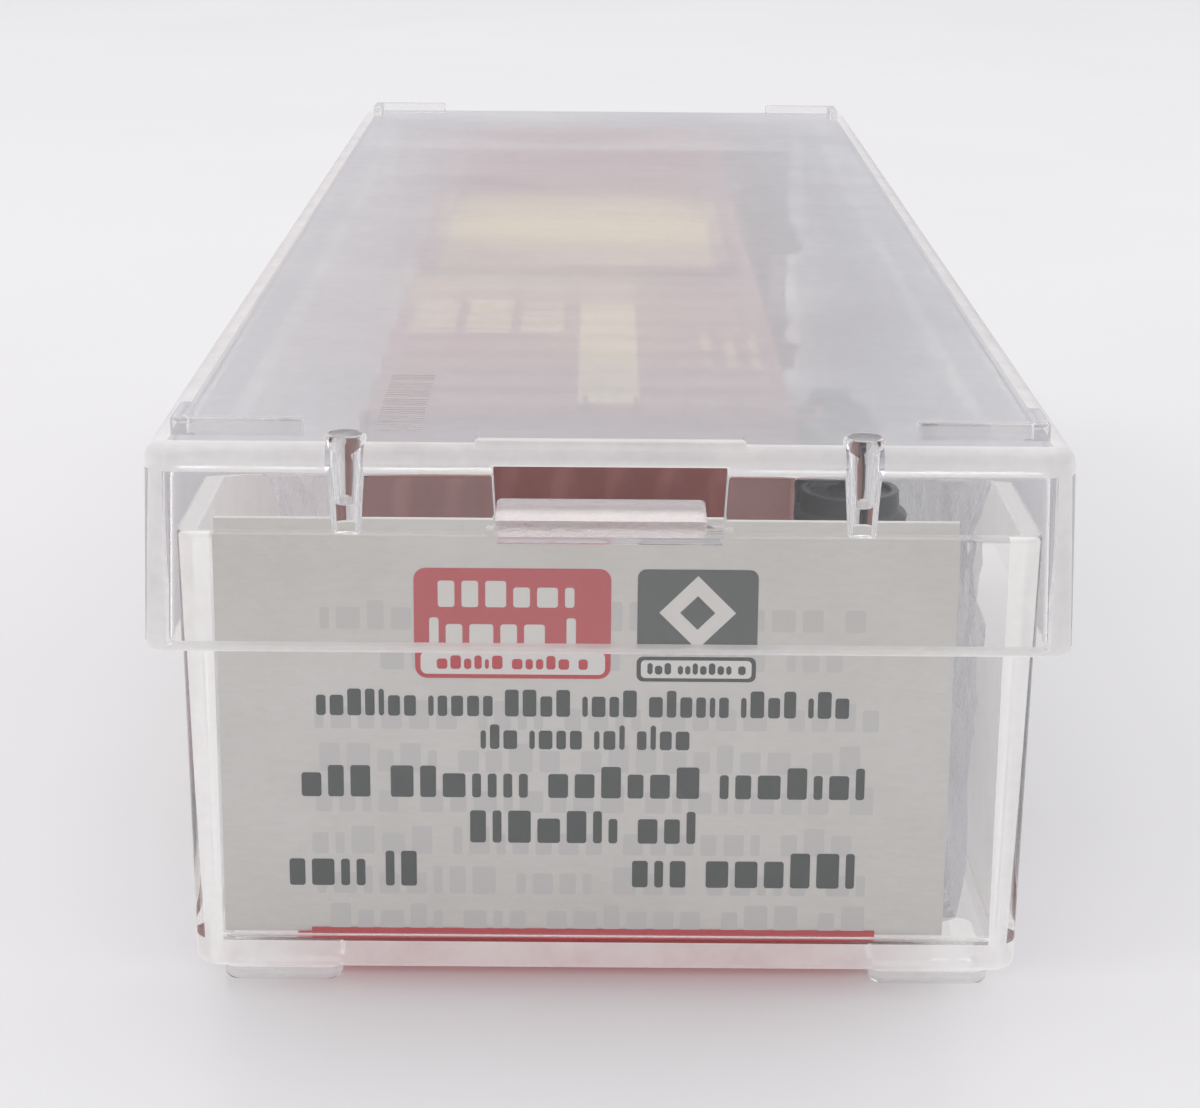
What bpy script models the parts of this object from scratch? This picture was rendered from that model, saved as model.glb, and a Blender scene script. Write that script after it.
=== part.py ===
"""A 1:160 rib-side box car lying on its side in a clear hinged display case.

Frame: X to the right, Y along the case away from its label end, Z up, origin on the surface that the
feet stand on, under the middle of the case. All sizes below are in millimetres.
The car has a frame of its own: x across, y along, z up from the rails. The empty car_frame lays it down
so that the car's roof faces the case's -X side and its +x side faces up.
"""

import math

import bmesh
import bpy
from mathutils import Vector

MM = 0.001
TINY = 1e-6  # merge distance, metres
CREASE = math.radians(35)  # edges sharper than this stay crisp

# ---- display case --------------------------------------------------------------------------------
FOOT_HEIGHT = 0.8
FOOT_SIZE = 5.6
FOOT_INSET = (1.3, 0.25)  # across and along
BASE_HALF_LOW = (19.4, 61.1)  # outer half width and half length at the floor
BASE_HALF_RIM = (19.65, 61.45)
BASE_FLOOR = 1.2
BASE_WALL = 1.0
RIM_Z = 22.2

LID_HALF_TOP = (20.8, 62.7)
LID_HALF_SKIRT = (21.05, 63.0)
LID_TOP_Z = 26.5
LID_SKIRT_Z = 17.0
LID_WALL = 1.15
LID_PLATE = 1.1
LID_EDGE = 0.75  # outer edge rounding
REAR_SKIRT_Z = 22.75  # the rear skirt is short, so that the lid clears the base as it opens

WINDOW_HALF = 5.25
WINDOW_Z = (22.15, 25.62)
PAD_HALF = 6.05
PAD_DEPTH = 2.2
PAD_RISE = 0.22
POST_X = (-11.8, 11.3)
POST_INSET = 0.95  # post axis behind the lid's front face
POST_TOP_R, POST_FOOT_R = 0.95, 0.66
POST_TOP_Z, POST_FOOT_Z = 26.9, 22.3
BORE_TOP_R, BORE_FOOT_R = 0.76, 0.55
BORE_DEPTH = 3.1
RIDGE_RISE = 0.8
RIDGE_WIDTH = 0.7
RIDGE_LEGS = (6.0, 3.4)  # across and along
RIDGE_INSET = (1.0, 2.0)

HINGE_Y, HINGE_Z = 60.3, 21.0
HINGE_PIN_R, HINGE_HOLE_R = 0.85, 0.93

TONGUE_X = -0.4
TONGUE_HALF = 4.7
TONGUE_Z = (22.87, 23.7)
TONGUE_FRONT = -63.2
NECK_Y = (-61.2, -60.6)

# ---- packing -------------------------------------------------------------------------------------
CARD_X = (-18.0, 15.9)
CARD_THICK = 0.25
CARD_FRONT = -59.95
CARD_BACK = 59.6
CARD_TOP_Z = 22.6
CARD_FLOOR_Z = 2.06
FILM_X = (-15.6, 17.1)
FILM_THICK = 0.3
FILM_Y = 59.0
FILM_FLOOR_Z = 2.42
FILM_TOP_Z = 25.0

# ---- car, in its own frame -----------------------------------------------------------------------
RAIL_X = 15.2  # where the rail plane stands in the case
CAR_CENTRE_Z = 14.0
CAR_Y = 3.0  # the car lies this far behind the middle of the case

BODY_HALF = 9.2
BODY_END = 48.7
BODY_LOW = 5.8
EAVE = 27.4
RIDGE = 28.45
BODY_WALL = 0.7
RIB_OUT = 9.55
RIB_WIDTH = 0.9
RIBS_PER_SIDE_HALF = 9
RIB_FIRST, RIB_LAST = 11.3, 47.7
ROOF_RIBS = 13
END_RIBS = 7
COUPLER_NOTCH = (4.4, 6.7)  # half width and top of the notch in each end

DOORWAY_HALF = 9.3
DOORWAY_Z = (8.4, 25.9)
DOOR_HALF = 9.9
DOOR_Z = (7.95, 26.35)
DOOR_X = (9.62, 10.0)
DOOR_RIB_OUT = 10.14
DOOR_TRAVEL = 18.0
TRACK_OUT = 10.3
TRACK_LIP = 0.25
TRACK_GAP = 0.06

FLOOR_Z = (6.4, 7.1)
SILL_HALF, SILL_END, SILL_LOW = 1.5, 29.0, 4.6
CROSS_BEARERS = (10.5, 22.0)
WEIGHT_HALF = (7.4, 34.0)
WEIGHT_Z = (7.17, 8.25)

TRUCK_Y = 38.9
AXLE_Y = 5.4
AXLE_Z = 2.62
FRAME_X = (6.2, 7.2)
BOLSTER_HALF = 1.6
BOLSTER_Z = (3.4, 5.0)
CENTRE_PLATE_R, CENTRE_PLATE_Z = 2.3, 5.88
PIN_R, PIN_HOLE_R, PIN_HEAD_R = 0.72, 0.8, 1.5
PIN_Z = (2.7, 7.05)
PIN_HEAD = 0.6

PIVOT_Y = 10.3  # coupler pivot, outward from the truck's centre
TRAY_HALF = 2.1
TRAY_WALL = 0.4
TRAY_Y = (7.3, 12.6)
TRAY_Z = (4.0, 5.85)
TRAY_FLOOR = 0.4
POST_R = 0.4
LOWER_Z = (4.5, 5.08)
UPPER_Z = (5.14, 5.72)
HEAD_Z = (4.15, 6.25)
SHANK_HALF = 0.75
SLOT_HALF = 0.48
SLOT_START = -0.5
SPRING_R, SPRING_WIRE = 0.19, 0.05
SPRING_TURNS = 7
BRAKE_WHEEL_R = 1.75


# ---- helpers -------------------------------------------------------------------------------------
def clear_scene():
    """Remove everything that the scene holds."""
    for item in list(bpy.data.objects):
        bpy.data.objects.remove(item)
    for collection in list(bpy.data.collections):
        bpy.data.collections.remove(collection)


def new_collection(name):
    """Add a collection to the scene."""
    collection = bpy.data.collections.new(name)
    bpy.context.scene.collection.children.link(collection)
    return collection


def make_material(name, colour, roughness, metallic=0.0, alpha=1.0):
    """A Principled material of one colour."""
    material = bpy.data.materials.new(name)
    material.use_nodes = True
    material.diffuse_color = (*colour, alpha)
    shader = material.node_tree.nodes["Principled BSDF"]
    shader.inputs["Base Color"].default_value = (*colour, 1.0)
    shader.inputs["Roughness"].default_value = roughness
    shader.inputs["Metallic"].default_value = metallic
    shader.inputs["Alpha"].default_value = alpha
    return material


def add_object(name, data, parent=None, at=(0, 0, 0)):
    """Put data into the scene as an object, at a place in millimetres under its parent."""
    item = bpy.data.objects.new(name, data)
    PARTS.objects.link(item)
    item.parent = parent
    item.location = Vector(at) * MM
    return item


def shade(mesh):
    """Smooth shading with crisp edges."""
    mesh.shade_smooth()
    mesh.set_sharp_from_angle(angle=CREASE)


def object_from(bm, name, parent=None, at=(0, 0, 0)):
    """Turn a bmesh built in millimetres into an object in metres."""
    bmesh.ops.scale(bm, vec=(MM, MM, MM), verts=bm.verts)
    mesh = bpy.data.meshes.new(name)
    bm.to_mesh(mesh)
    bm.free()
    shade(mesh)
    return add_object(name, mesh, parent, at)


def block(name, low, high, parent=None, rounding=0.0, at=(0, 0, 0)):
    """A box from its two corners, with all its edges rounded if asked."""
    bm = bmesh.new()
    bmesh.ops.create_cube(bm, size=1.0)
    size = Vector(high) - Vector(low)
    bmesh.ops.scale(bm, vec=size, verts=bm.verts)
    bmesh.ops.translate(bm, vec=(Vector(low) + Vector(high)) / 2, verts=bm.verts)
    if rounding:
        bmesh.ops.bevel(bm, geom=bm.edges[:], offset=rounding, segments=2, profile=0.5, affect="EDGES")
    return object_from(bm, name, parent, at)


def blocks(name, corners, parent=None):
    """Several boxes that stay clear of each other, as one tool for a Boolean."""
    bm = bmesh.new()
    for low, high in corners:
        size = Vector(high) - Vector(low)
        made = bmesh.ops.create_cube(bm, size=1.0)["verts"]
        bmesh.ops.scale(bm, vec=size, verts=made)
        bmesh.ops.translate(bm, vec=(Vector(low) + Vector(high)) / 2, verts=made)
    return object_from(bm, name, parent)


def tapered_tub(name, half_low, half_high, z_low, z_high, upright_rounding, top_rounding=0.0):
    """A block with drafted sides, rounded upright edges and, if asked, a rounded top edge."""
    bm = bmesh.new()
    bmesh.ops.create_cube(bm, size=2.0)
    for vertex in bm.verts:
        is_high = vertex.co.z > 0
        half = half_high if is_high else half_low
        vertex.co.x *= half[0]
        vertex.co.y *= half[1]
        vertex.co.z = z_high if is_high else z_low
    middle = (z_low + z_high) / 2
    uprights = [e for e in bm.edges if (e.verts[0].co.z - middle) * (e.verts[1].co.z - middle) < 0]
    bmesh.ops.bevel(bm, geom=uprights, offset=upright_rounding, segments=4, profile=0.5, affect="EDGES")
    if top_rounding:
        top = [e for e in bm.edges if min(v.co.z for v in e.verts) > z_high - 0.001]
        bmesh.ops.bevel(bm, geom=top, offset=top_rounding, segments=3, profile=0.5, affect="EDGES")
    return object_from(bm, name)


def cylinder(name, low_radius, high_radius, low, high, segments, axis="Z", parent=None, at=(0, 0, 0)):
    """A cylinder or cone frustum along one axis, from low to high on it."""
    bm = bmesh.new()
    bmesh.ops.create_cone(
        bm, cap_ends=True, segments=segments, radius1=low_radius, radius2=high_radius, depth=high - low
    )
    bmesh.ops.translate(bm, vec=(0, 0, (low + high) / 2), verts=bm.verts)
    for vertex in bm.verts:
        x, y, z = vertex.co
        if axis == "X":
            vertex.co = (z, x, y)
        elif axis == "Y":
            vertex.co = (y, z, x)
    return object_from(bm, name, parent, at)


def turned(name, profile, steps, axis="Z", parent=None, at=(0, 0, 0)):
    """A turned piece: profile is (radius, height) pairs from its top to its bottom."""
    mesh = bpy.data.meshes.new(name)
    points = [(radius * MM, 0.0, height * MM) for radius, height in profile]
    mesh.from_pydata(points, [(i, i + 1) for i in range(len(points) - 1)], [])
    item = add_object(name, mesh, parent, at)
    screw = item.modifiers.new("turn", "SCREW")
    screw.steps = steps
    screw.render_steps = steps
    screw.use_merge_vertices = True
    screw.merge_threshold = TINY
    screw.use_smooth_shade = True
    if axis == "X":
        item.rotation_euler = (0, math.pi / 2, 0)
    elif axis == "Y":
        item.rotation_euler = (-math.pi / 2, 0, 0)
    return item


def plate(name, outlines, low, high, facing="Z", parent=None, at=(0, 0, 0)):
    """A flat piece between low and high along its facing axis; inner outlines are holes.

    Outline points are (x, y) for facing Z, (y, z) for facing X and (x, z) for facing Y.
    """
    curve = bpy.data.curves.new(name, "CURVE")
    curve.dimensions = "2D"
    curve.fill_mode = "BOTH"
    curve.extrude = (high - low) / 2 * MM
    for outline in outlines:
        spline = curve.splines.new("POLY")
        spline.points.add(len(outline) - 1)
        for point, (u, v) in zip(spline.points, outline):
            point.co = (u * MM, v * MM, 0.0, 1.0)
        spline.use_cyclic_u = True
    flat = bpy.data.objects.new(name, curve)
    PARTS.objects.link(flat)
    mesh = bpy.data.meshes.new_from_object(flat.evaluated_get(bpy.context.evaluated_depsgraph_get()))
    bpy.data.objects.remove(flat)
    bm = bmesh.new()
    bm.from_mesh(mesh)
    bmesh.ops.remove_doubles(bm, verts=bm.verts, dist=TINY)
    bmesh.ops.translate(bm, vec=(0, 0, (low + high) / 2 * MM), verts=bm.verts)
    for vertex in bm.verts:
        u, v, w = vertex.co
        if facing == "X":
            vertex.co = (w, u, v)
        elif facing == "Y":
            vertex.co = (u, w, v)
    bmesh.ops.recalc_face_normals(bm, faces=bm.faces)
    bm.to_mesh(mesh)
    bm.free()
    shade(mesh)
    return add_object(name, mesh, parent, at)


def arc(centre, radius, start, end, count):
    """Points along an arc, its angles in degrees."""
    angles = [math.radians(start + (end - start) * i / (count - 1)) for i in range(count)]
    return [(centre[0] + radius * math.cos(a), centre[1] + radius * math.sin(a)) for a in angles]


def wire(name, points, radius, resolution=2, parent=None, at=(0, 0, 0)):
    """A round wire through points, with closed ends."""
    curve = bpy.data.curves.new(name, "CURVE")
    curve.dimensions = "3D"
    curve.bevel_depth = radius * MM
    curve.bevel_resolution = resolution
    curve.use_fill_caps = True
    spline = curve.splines.new("POLY")
    spline.points.add(len(points) - 1)
    for point, place in zip(spline.points, points):
        point.co = (*(Vector(place) * MM), 1.0)
    return add_object(name, curve, parent, at)


def empty(name, parent=None, at=(0, 0, 0), turn=(0, 0, 0)):
    """A frame that pieces are parented to."""
    item = add_object(name, None, parent, at)
    item.rotation_euler = turn
    return item


def boolean(target, operation, *tools):
    """Cut tools from the target, or join them to it, and keep the tools as wire guides."""
    for tool in tools:
        modifier = target.modifiers.new(tool.name, "BOOLEAN")
        modifier.operation = operation
        modifier.solver = "EXACT"
        modifier.object = tool
        tool.hide_render = True
        tool.display_type = "WIRE"
        PARTS.objects.unlink(tool)
        CUTTERS.objects.link(tool)
    return target


def cut(target, *tools):
    """Take the tools' shapes out of the target."""
    return boolean(target, "DIFFERENCE", *tools)


def join(target, *tools):
    """Add the tools' shapes to the target."""
    return boolean(target, "UNION", *tools)


def paint(item, material):
    """Give an object its material."""
    item.data.materials.append(material)
    return item


def interpolate(low, high, share):
    """A value part of the way from low to high."""
    return low + (high - low) * share


def spaced(first, last, count):
    """Evenly spaced values, ends included."""
    return [first + (last - first) * i / (count - 1) for i in range(count)]


# ---- display case --------------------------------------------------------------------------------
def make_case_base(material):
    """Open tray with feet and two hinge pins."""
    base = tapered_tub("case_base", BASE_HALF_LOW, BASE_HALF_RIM, FOOT_HEIGHT, RIM_Z, 1.2)
    floor_z = FOOT_HEIGHT + BASE_FLOOR
    above_rim = RIM_Z + 1.0
    draft = (BASE_HALF_RIM[0] - BASE_HALF_LOW[0]) / (RIM_Z - FOOT_HEIGHT)
    inner_low = [half - BASE_WALL + draft * BASE_FLOOR for half in BASE_HALF_LOW]
    inner_high = [half - BASE_WALL + draft * (above_rim - RIM_Z) for half in BASE_HALF_RIM]
    cut(base, tapered_tub("base_cavity", inner_low, inner_high, floor_z, above_rim, 0.5))

    foot_x = BASE_HALF_LOW[0] - FOOT_INSET[0]
    foot_y = BASE_HALF_LOW[1] - FOOT_INSET[1]
    feet = []
    for side in (-1, 1):
        for end in (-1, 1):
            xs = sorted((side * foot_x, side * (foot_x - FOOT_SIZE)))
            ys = sorted((end * foot_y, end * (foot_y - FOOT_SIZE)))
            feet.append(((xs[0], ys[0], 0.0), (xs[1], ys[1], FOOT_HEIGHT + 0.3)))
    join(base, blocks("feet", feet))

    pin_root = BASE_HALF_RIM[0] - 0.5
    pin_tip = LID_HALF_TOP[0] - 0.1
    for side in (-1, 1):
        low, high = sorted((side * pin_root, side * pin_tip))
        pin = cylinder(
            "hinge_stud", HINGE_PIN_R, HINGE_PIN_R, low, high, 20, axis="X", at=(0, HINGE_Y, HINGE_Z)
        )
        join(base, pin)
    return paint(base, material)


def lid_half_at(z, axis):
    """The lid's outer half size at a height, across (axis 0) or along (axis 1)."""
    share = (z - LID_SKIRT_Z) / (LID_TOP_Z - LID_SKIRT_Z)
    return interpolate(LID_HALF_SKIRT[axis], LID_HALF_TOP[axis], share)


def ridge_outline(side, end):
    """The L of one stacking ridge, in plan."""
    outer_x = LID_HALF_TOP[0] - RIDGE_INSET[0]
    outer_y = LID_HALF_TOP[1] - RIDGE_INSET[1]
    inner_x, inner_y = outer_x - RIDGE_WIDTH, outer_y - RIDGE_WIDTH
    far_x, far_y = outer_x - RIDGE_LEGS[0], outer_y - RIDGE_LEGS[1]
    corner = [
        (outer_x, outer_y),
        (far_x, outer_y),
        (far_x, inner_y),
        (inner_x, inner_y),
        (inner_x, far_y),
        (outer_x, far_y),
    ]
    return [(side * x, end * y) for x, y in corner]


def make_case_lid(material):
    """Lid with latch window, cup posts, stacking ridges, thumb pad and hinge holes."""
    lid = tapered_tub("case_lid", LID_HALF_SKIRT, LID_HALF_TOP, LID_SKIRT_Z, LID_TOP_Z, 1.3, LID_EDGE)
    ceiling = LID_TOP_Z - LID_PLATE
    below = LID_SKIRT_Z - 1.0
    inner_low = [lid_half_at(below, axis) - LID_WALL for axis in (0, 1)]
    inner_high = [lid_half_at(ceiling, axis) - LID_WALL for axis in (0, 1)]
    cavity = tapered_tub("lid_cavity", inner_low, inner_high, below, ceiling, 0.6, 0.3)
    wide = LID_HALF_SKIRT[0] + 1.0
    rear_inner = lid_half_at(REAR_SKIRT_Z, 1) - LID_WALL - 0.3
    behind = LID_HALF_SKIRT[1] + 1.0
    rear_cut = block("rear_skirt_cut", (-wide, rear_inner, below), (wide, behind, REAR_SKIRT_Z))
    front_in = -lid_half_at(WINDOW_Z[0], 1) + LID_WALL + 0.6
    window = block(
        "latch_window",
        (-WINDOW_HALF, -LID_HALF_SKIRT[1] - 1.0, WINDOW_Z[0]),
        (WINDOW_HALF, front_in, WINDOW_Z[1]),
    )
    cut(lid, cavity, rear_cut, window)

    pad_front = -LID_HALF_TOP[1] + LID_EDGE * 0.4
    pad = block(
        "thumb_pad",
        (-PAD_HALF, pad_front, LID_TOP_Z - 0.5),
        (PAD_HALF, pad_front + PAD_DEPTH, LID_TOP_Z + PAD_RISE),
        rounding=0.12,
    )
    ridges = []
    for side in (-1, 1):
        for end in (-1, 1):
            outline = ridge_outline(side, end)
            ridges.append(plate("stacking_ridge", [outline], LID_TOP_Z - 0.4, LID_TOP_Z + RIDGE_RISE))
    post_y = -LID_HALF_TOP[1] + POST_INSET
    posts, bores = [], []
    for x in POST_X:
        place = (x, post_y, 0)
        bore_foot = POST_TOP_Z - BORE_DEPTH
        bore_top = POST_TOP_Z + 0.3
        posts.append(cylinder("cup_post", POST_FOOT_R, POST_TOP_R, POST_FOOT_Z, POST_TOP_Z, 20, at=place))
        bores.append(cylinder("cup_bore", BORE_FOOT_R, BORE_TOP_R, bore_foot, bore_top, 16, at=place))
    join(lid, pad, *ridges, *posts)
    cut(lid, *bores)

    for side in (-1, 1):
        low, high = sorted((side * (BASE_HALF_LOW[0] - 0.5), side * (LID_HALF_SKIRT[0] + 0.5)))
        hole = cylinder(
            "hinge_hole", HINGE_HOLE_R, HINGE_HOLE_R, low, high, 20, axis="X", at=(0, HINGE_Y, HINGE_Z)
        )
        cut(lid, hole)
    return paint(lid, material)


def make_latch_tongue(material):
    """Flexing tab on the front rim; its origin is at its root, where it bends."""
    root = (TONGUE_X, sum(NECK_Y) / 2, RIM_Z + 0.05)
    tab_low = (-TONGUE_HALF, TONGUE_FRONT - root[1], TONGUE_Z[0] - root[2])
    tab_high = (TONGUE_HALF, NECK_Y[1] - root[1], TONGUE_Z[1] - root[2])
    tongue = block("latch_tongue", tab_low, tab_high, rounding=0.22, at=root)
    neck_half = (NECK_Y[1] - NECK_Y[0]) / 2
    neck = block(
        "tongue_neck",
        (-TONGUE_HALF + 0.3, -neck_half, 0.0),
        (TONGUE_HALF - 0.3, neck_half - 0.05, TONGUE_Z[1] - root[2] - 0.3),
        at=root,
    )
    join(tongue, neck)
    return paint(tongue, material)


# ---- packing -------------------------------------------------------------------------------------
def make_label_card(material):
    """Folded card: the upright label panel and the floor panel, one L in side view."""
    inner_y = CARD_FRONT + CARD_THICK
    inner_z = CARD_FLOOR_Z + CARD_THICK
    outline = [
        (CARD_FRONT, CARD_FLOOR_Z),
        (CARD_BACK, CARD_FLOOR_Z),
        (CARD_BACK, inner_z),
        (inner_y, inner_z),
        (inner_y, CARD_TOP_Z),
        (CARD_FRONT, CARD_TOP_Z),
    ]
    return paint(plate("label_card", [outline], CARD_X[0], CARD_X[1], facing="X"), material)


def make_film_cradle(material):
    """Clear film trough, a U in end view."""
    left, right = FILM_X
    low = FILM_FLOOR_Z
    outline = [
        (left, low),
        (right, low),
        (right, FILM_TOP_Z),
        (right - FILM_THICK, FILM_TOP_Z),
        (right - FILM_THICK, low + FILM_THICK),
        (left + FILM_THICK, low + FILM_THICK),
        (left + FILM_THICK, FILM_TOP_Z),
        (left, FILM_TOP_Z),
    ]
    return paint(plate("film_cradle", [outline], -FILM_Y, FILM_Y, facing="Y"), material)


# ---- car body ------------------------------------------------------------------------------------
def body_section(inset, low):
    """The car's cross-section as an outline, set in from its outside."""
    half = BODY_HALF - inset
    return [
        (half, low),
        (half, EAVE - inset),
        (0.0, RIDGE - inset),
        (-half, EAVE - inset),
        (-half, low),
    ]


def side_ribs():
    """Boxes for the outside posts of both sides."""
    corners = []
    for middle in spaced(RIB_FIRST, RIB_LAST, RIBS_PER_SIDE_HALF):
        for end in (-1, 1):
            y_low, y_high = end * middle - RIB_WIDTH / 2, end * middle + RIB_WIDTH / 2
            corners.append(((BODY_HALF - 0.3, y_low, BODY_LOW + 0.5), (RIB_OUT, y_high, EAVE - 0.35)))
            corners.append(((-RIB_OUT, y_low, BODY_LOW + 0.5), (-BODY_HALF + 0.3, y_high, EAVE - 0.35)))
    return corners


def roof_ribs():
    """Low tent-shaped battens across the roof, one plate each."""
    ribs = []
    rise = 0.25
    outline = [
        (BODY_HALF, EAVE - 0.3),
        (BODY_HALF, EAVE + rise),
        (0.0, RIDGE + rise),
        (-BODY_HALF, EAVE + rise),
        (-BODY_HALF, EAVE - 0.3),
        (0.0, RIDGE - 0.3),
    ]
    for y in spaced(-BODY_END + 0.5, BODY_END - 0.5, ROOF_RIBS):
        ribs.append(plate("roof_batten", [outline], y - 0.35, y + 0.35, facing="Y", parent=CAR))
    return ribs


def end_ribs():
    """Boxes for the level corrugations of both ends."""
    corners = []
    for z in spaced(9.4, 25.2, END_RIBS):
        for end in (-1, 1):
            ys = sorted((end * (BODY_END - 0.3), end * (BODY_END + 0.35)))
            corners.append(((-7.9, ys[0], z - 0.55), (7.9, ys[1], z + 0.55)))
    return corners


def door_tracks(side):
    """The lower and upper track of one side, each an L in section."""
    y_low, y_high = sorted((-side * (DOOR_HALF + 0.5), side * (DOOR_HALF + DOOR_TRAVEL + 1.0)))
    root = side * (BODY_HALF - 0.3)
    outside = side * TRACK_OUT
    lip_in = side * (TRACK_OUT - TRACK_LIP)
    tracks = []
    for door_edge, inward in ((DOOR_Z[0], 1), (DOOR_Z[1], -1)):
        back = door_edge - inward * 0.5
        seat = door_edge - inward * TRACK_GAP
        lip_end = door_edge + inward * 0.3
        outline = [
            (root, back),
            (outside, back),
            (outside, lip_end),
            (lip_in, lip_end),
            (lip_in, seat),
            (root, seat),
        ]
        tracks.append(plate("door_track", [outline], y_low, y_high, facing="Y", parent=CAR))
    return tracks


def make_body_shell(material):
    """Sides, ends and roof in one hollow moulding, open below."""
    shell = plate("body_shell", [body_section(0.0, BODY_LOW)], -BODY_END, BODY_END, facing="Y", parent=CAR)
    inner_end = BODY_END - BODY_WALL
    hollow = plate(
        "body_hollow",
        [body_section(BODY_WALL, BODY_LOW - 1.0)],
        -inner_end,
        inner_end,
        facing="Y",
        parent=CAR,
    )
    cut(shell, hollow)
    ribs = blocks("side_ribs", side_ribs() + end_ribs(), parent=CAR)
    join(shell, ribs, *roof_ribs(), *door_tracks(1), *door_tracks(-1))
    doorways = block(
        "doorways",
        (-TRACK_OUT - 1.0, -DOORWAY_HALF, DOORWAY_Z[0]),
        (TRACK_OUT + 1.0, DOORWAY_HALF, DOORWAY_Z[1]),
        parent=CAR,
    )
    notch_half, notch_top = COUPLER_NOTCH
    notches = block(
        "coupler_notches",
        (-notch_half, -BODY_END - 1.0, BODY_LOW - 1.0),
        (notch_half, BODY_END + 1.0, notch_top),
        parent=CAR,
    )
    cut(shell, doorways, notches)
    return paint(shell, material)


def make_door(name, side, material):
    """Sliding door that hangs outside the posts, between its two tracks."""
    inner, outer = sorted((side * DOOR_X[0], side * DOOR_X[1]))
    door = block(name, (inner, -DOOR_HALF, DOOR_Z[0]), (outer, DOOR_HALF, DOOR_Z[1]), parent=CAR)
    raised = []
    for z in spaced(DOOR_Z[0] + 1.6, DOOR_Z[1] - 1.6, 9):
        xs = sorted((side * (DOOR_X[1] - 0.15), side * DOOR_RIB_OUT))
        raised.append(((xs[0], -DOOR_HALF + 1.0, z - 0.4), (xs[1], DOOR_HALF - 1.0, z + 0.4)))
    join(door, blocks("door_corrugations", raised, parent=CAR))
    return paint(door, material)


def make_underframe(material):
    """Floor, centre sill, cross-bearers, bolsters and brake gear in one moulding."""
    half = BODY_HALF - BODY_WALL - 0.1
    end = BODY_END - BODY_WALL - 0.1
    reach = half - 0.4
    rooted = FLOOR_Z[0] + 0.2
    pad_low = CENTRE_PLATE_Z + 0.07
    frame = block("underframe", (-half, -end, FLOOR_Z[0]), (half, end, FLOOR_Z[1]), parent=CAR)
    sill_low = (-SILL_HALF, -SILL_END, SILL_LOW)
    sill_high = (SILL_HALF, SILL_END, rooted)
    sill = block("centre_sill", sill_low, sill_high, parent=CAR)
    bearers = []
    pads = []
    for toward in (-1, 1):
        for y in CROSS_BEARERS:
            middle = toward * y
            bearers.append(((-reach, middle - 0.45, 5.3), (reach, middle + 0.45, rooted)))
        middle = toward * TRUCK_Y
        pads.append(((-reach, middle - 1.3, pad_low), (reach, middle + 1.3, rooted)))
    tank = cylinder("brake_cylinder", 0.95, 0.95, -2.0, 2.2, 14, axis="Y", parent=CAR, at=(4.6, 3.0, 5.7))
    reservoir = block("air_reservoir", (-6.4, -4.6, 5.0), (-3.2, 1.2, rooted), parent=CAR)
    join(frame, sill, tank, reservoir)
    join(frame, blocks("cross_bearers", bearers, parent=CAR), blocks("bolster_pads", pads, parent=CAR))
    for end_sign in (-1, 1):
        hole = cylinder(
            "pin_hole", PIN_HOLE_R, PIN_HOLE_R, 5.0, 8.0, 16, parent=CAR, at=(0, end_sign * TRUCK_Y, 0)
        )
        cut(frame, hole)
    return paint(frame, material)


def make_weight(material):
    """Steel ballast plate that lies on the floor inside."""
    weight = block(
        "weight",
        (-WEIGHT_HALF[0], -WEIGHT_HALF[1], WEIGHT_Z[0]),
        (WEIGHT_HALF[0], WEIGHT_HALF[1], WEIGHT_Z[1]),
        parent=CAR,
    )
    return paint(weight, material)


def make_brake_wheel(material):
    """Hand wheel on a short stem, at the far end of the car."""
    place = (-4.6, BODY_END + 0.4, 18.0)
    wheel = turned(
        "brake_wheel",
        [
            (0.0, 1.45),
            (0.4, 1.45),
            (0.45, 1.15),
            (BRAKE_WHEEL_R - 0.35, 1.05),
            (BRAKE_WHEEL_R - 0.25, 1.3),
            (BRAKE_WHEEL_R, 1.25),
            (BRAKE_WHEEL_R, 0.9),
            (BRAKE_WHEEL_R - 0.3, 0.8),
            (0.35, 0.85),
            (0.3, 0.02),
            (0.0, 0.02),
        ],
        20,
        axis="Y",
        parent=CAR,
        at=place,
    )
    spoke_gaps = []
    for angle in spaced(0, 300, 6):
        middle = 0.92
        x = middle * math.cos(math.radians(angle + 30))
        z = middle * math.sin(math.radians(angle + 30))
        spot = (place[0] + x, place[1], place[2] + z)
        spoke_gaps.append(cylinder("spoke_gap", 0.34, 0.34, 0.2, 1.8, 8, axis="Y", parent=CAR, at=spot))
    cut(wheel, *spoke_gaps)
    return paint(wheel, material)


# ---- trucks and couplers, each in a truck frame whose +y points out of the car -------------------
def side_frame_outlines():
    """A cast side frame in side view: outside and two windows."""
    right = [
        (2.0, 5.0),
        (4.5, 4.1),
        (6.3, 3.9),
        (6.6, 3.2),
        (6.5, 1.75),
        (4.6, 1.6),
        (3.9, 1.9),
        (1.9, 0.95),
    ]
    left = [(-y, z) for y, z in reversed(right)]
    window = [(2.1, 4.2), (3.9, 3.5), (4.0, 2.6), (2.1, 1.8)]
    return [right + left, window, [(-y, z) for y, z in reversed(window)]]


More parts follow.
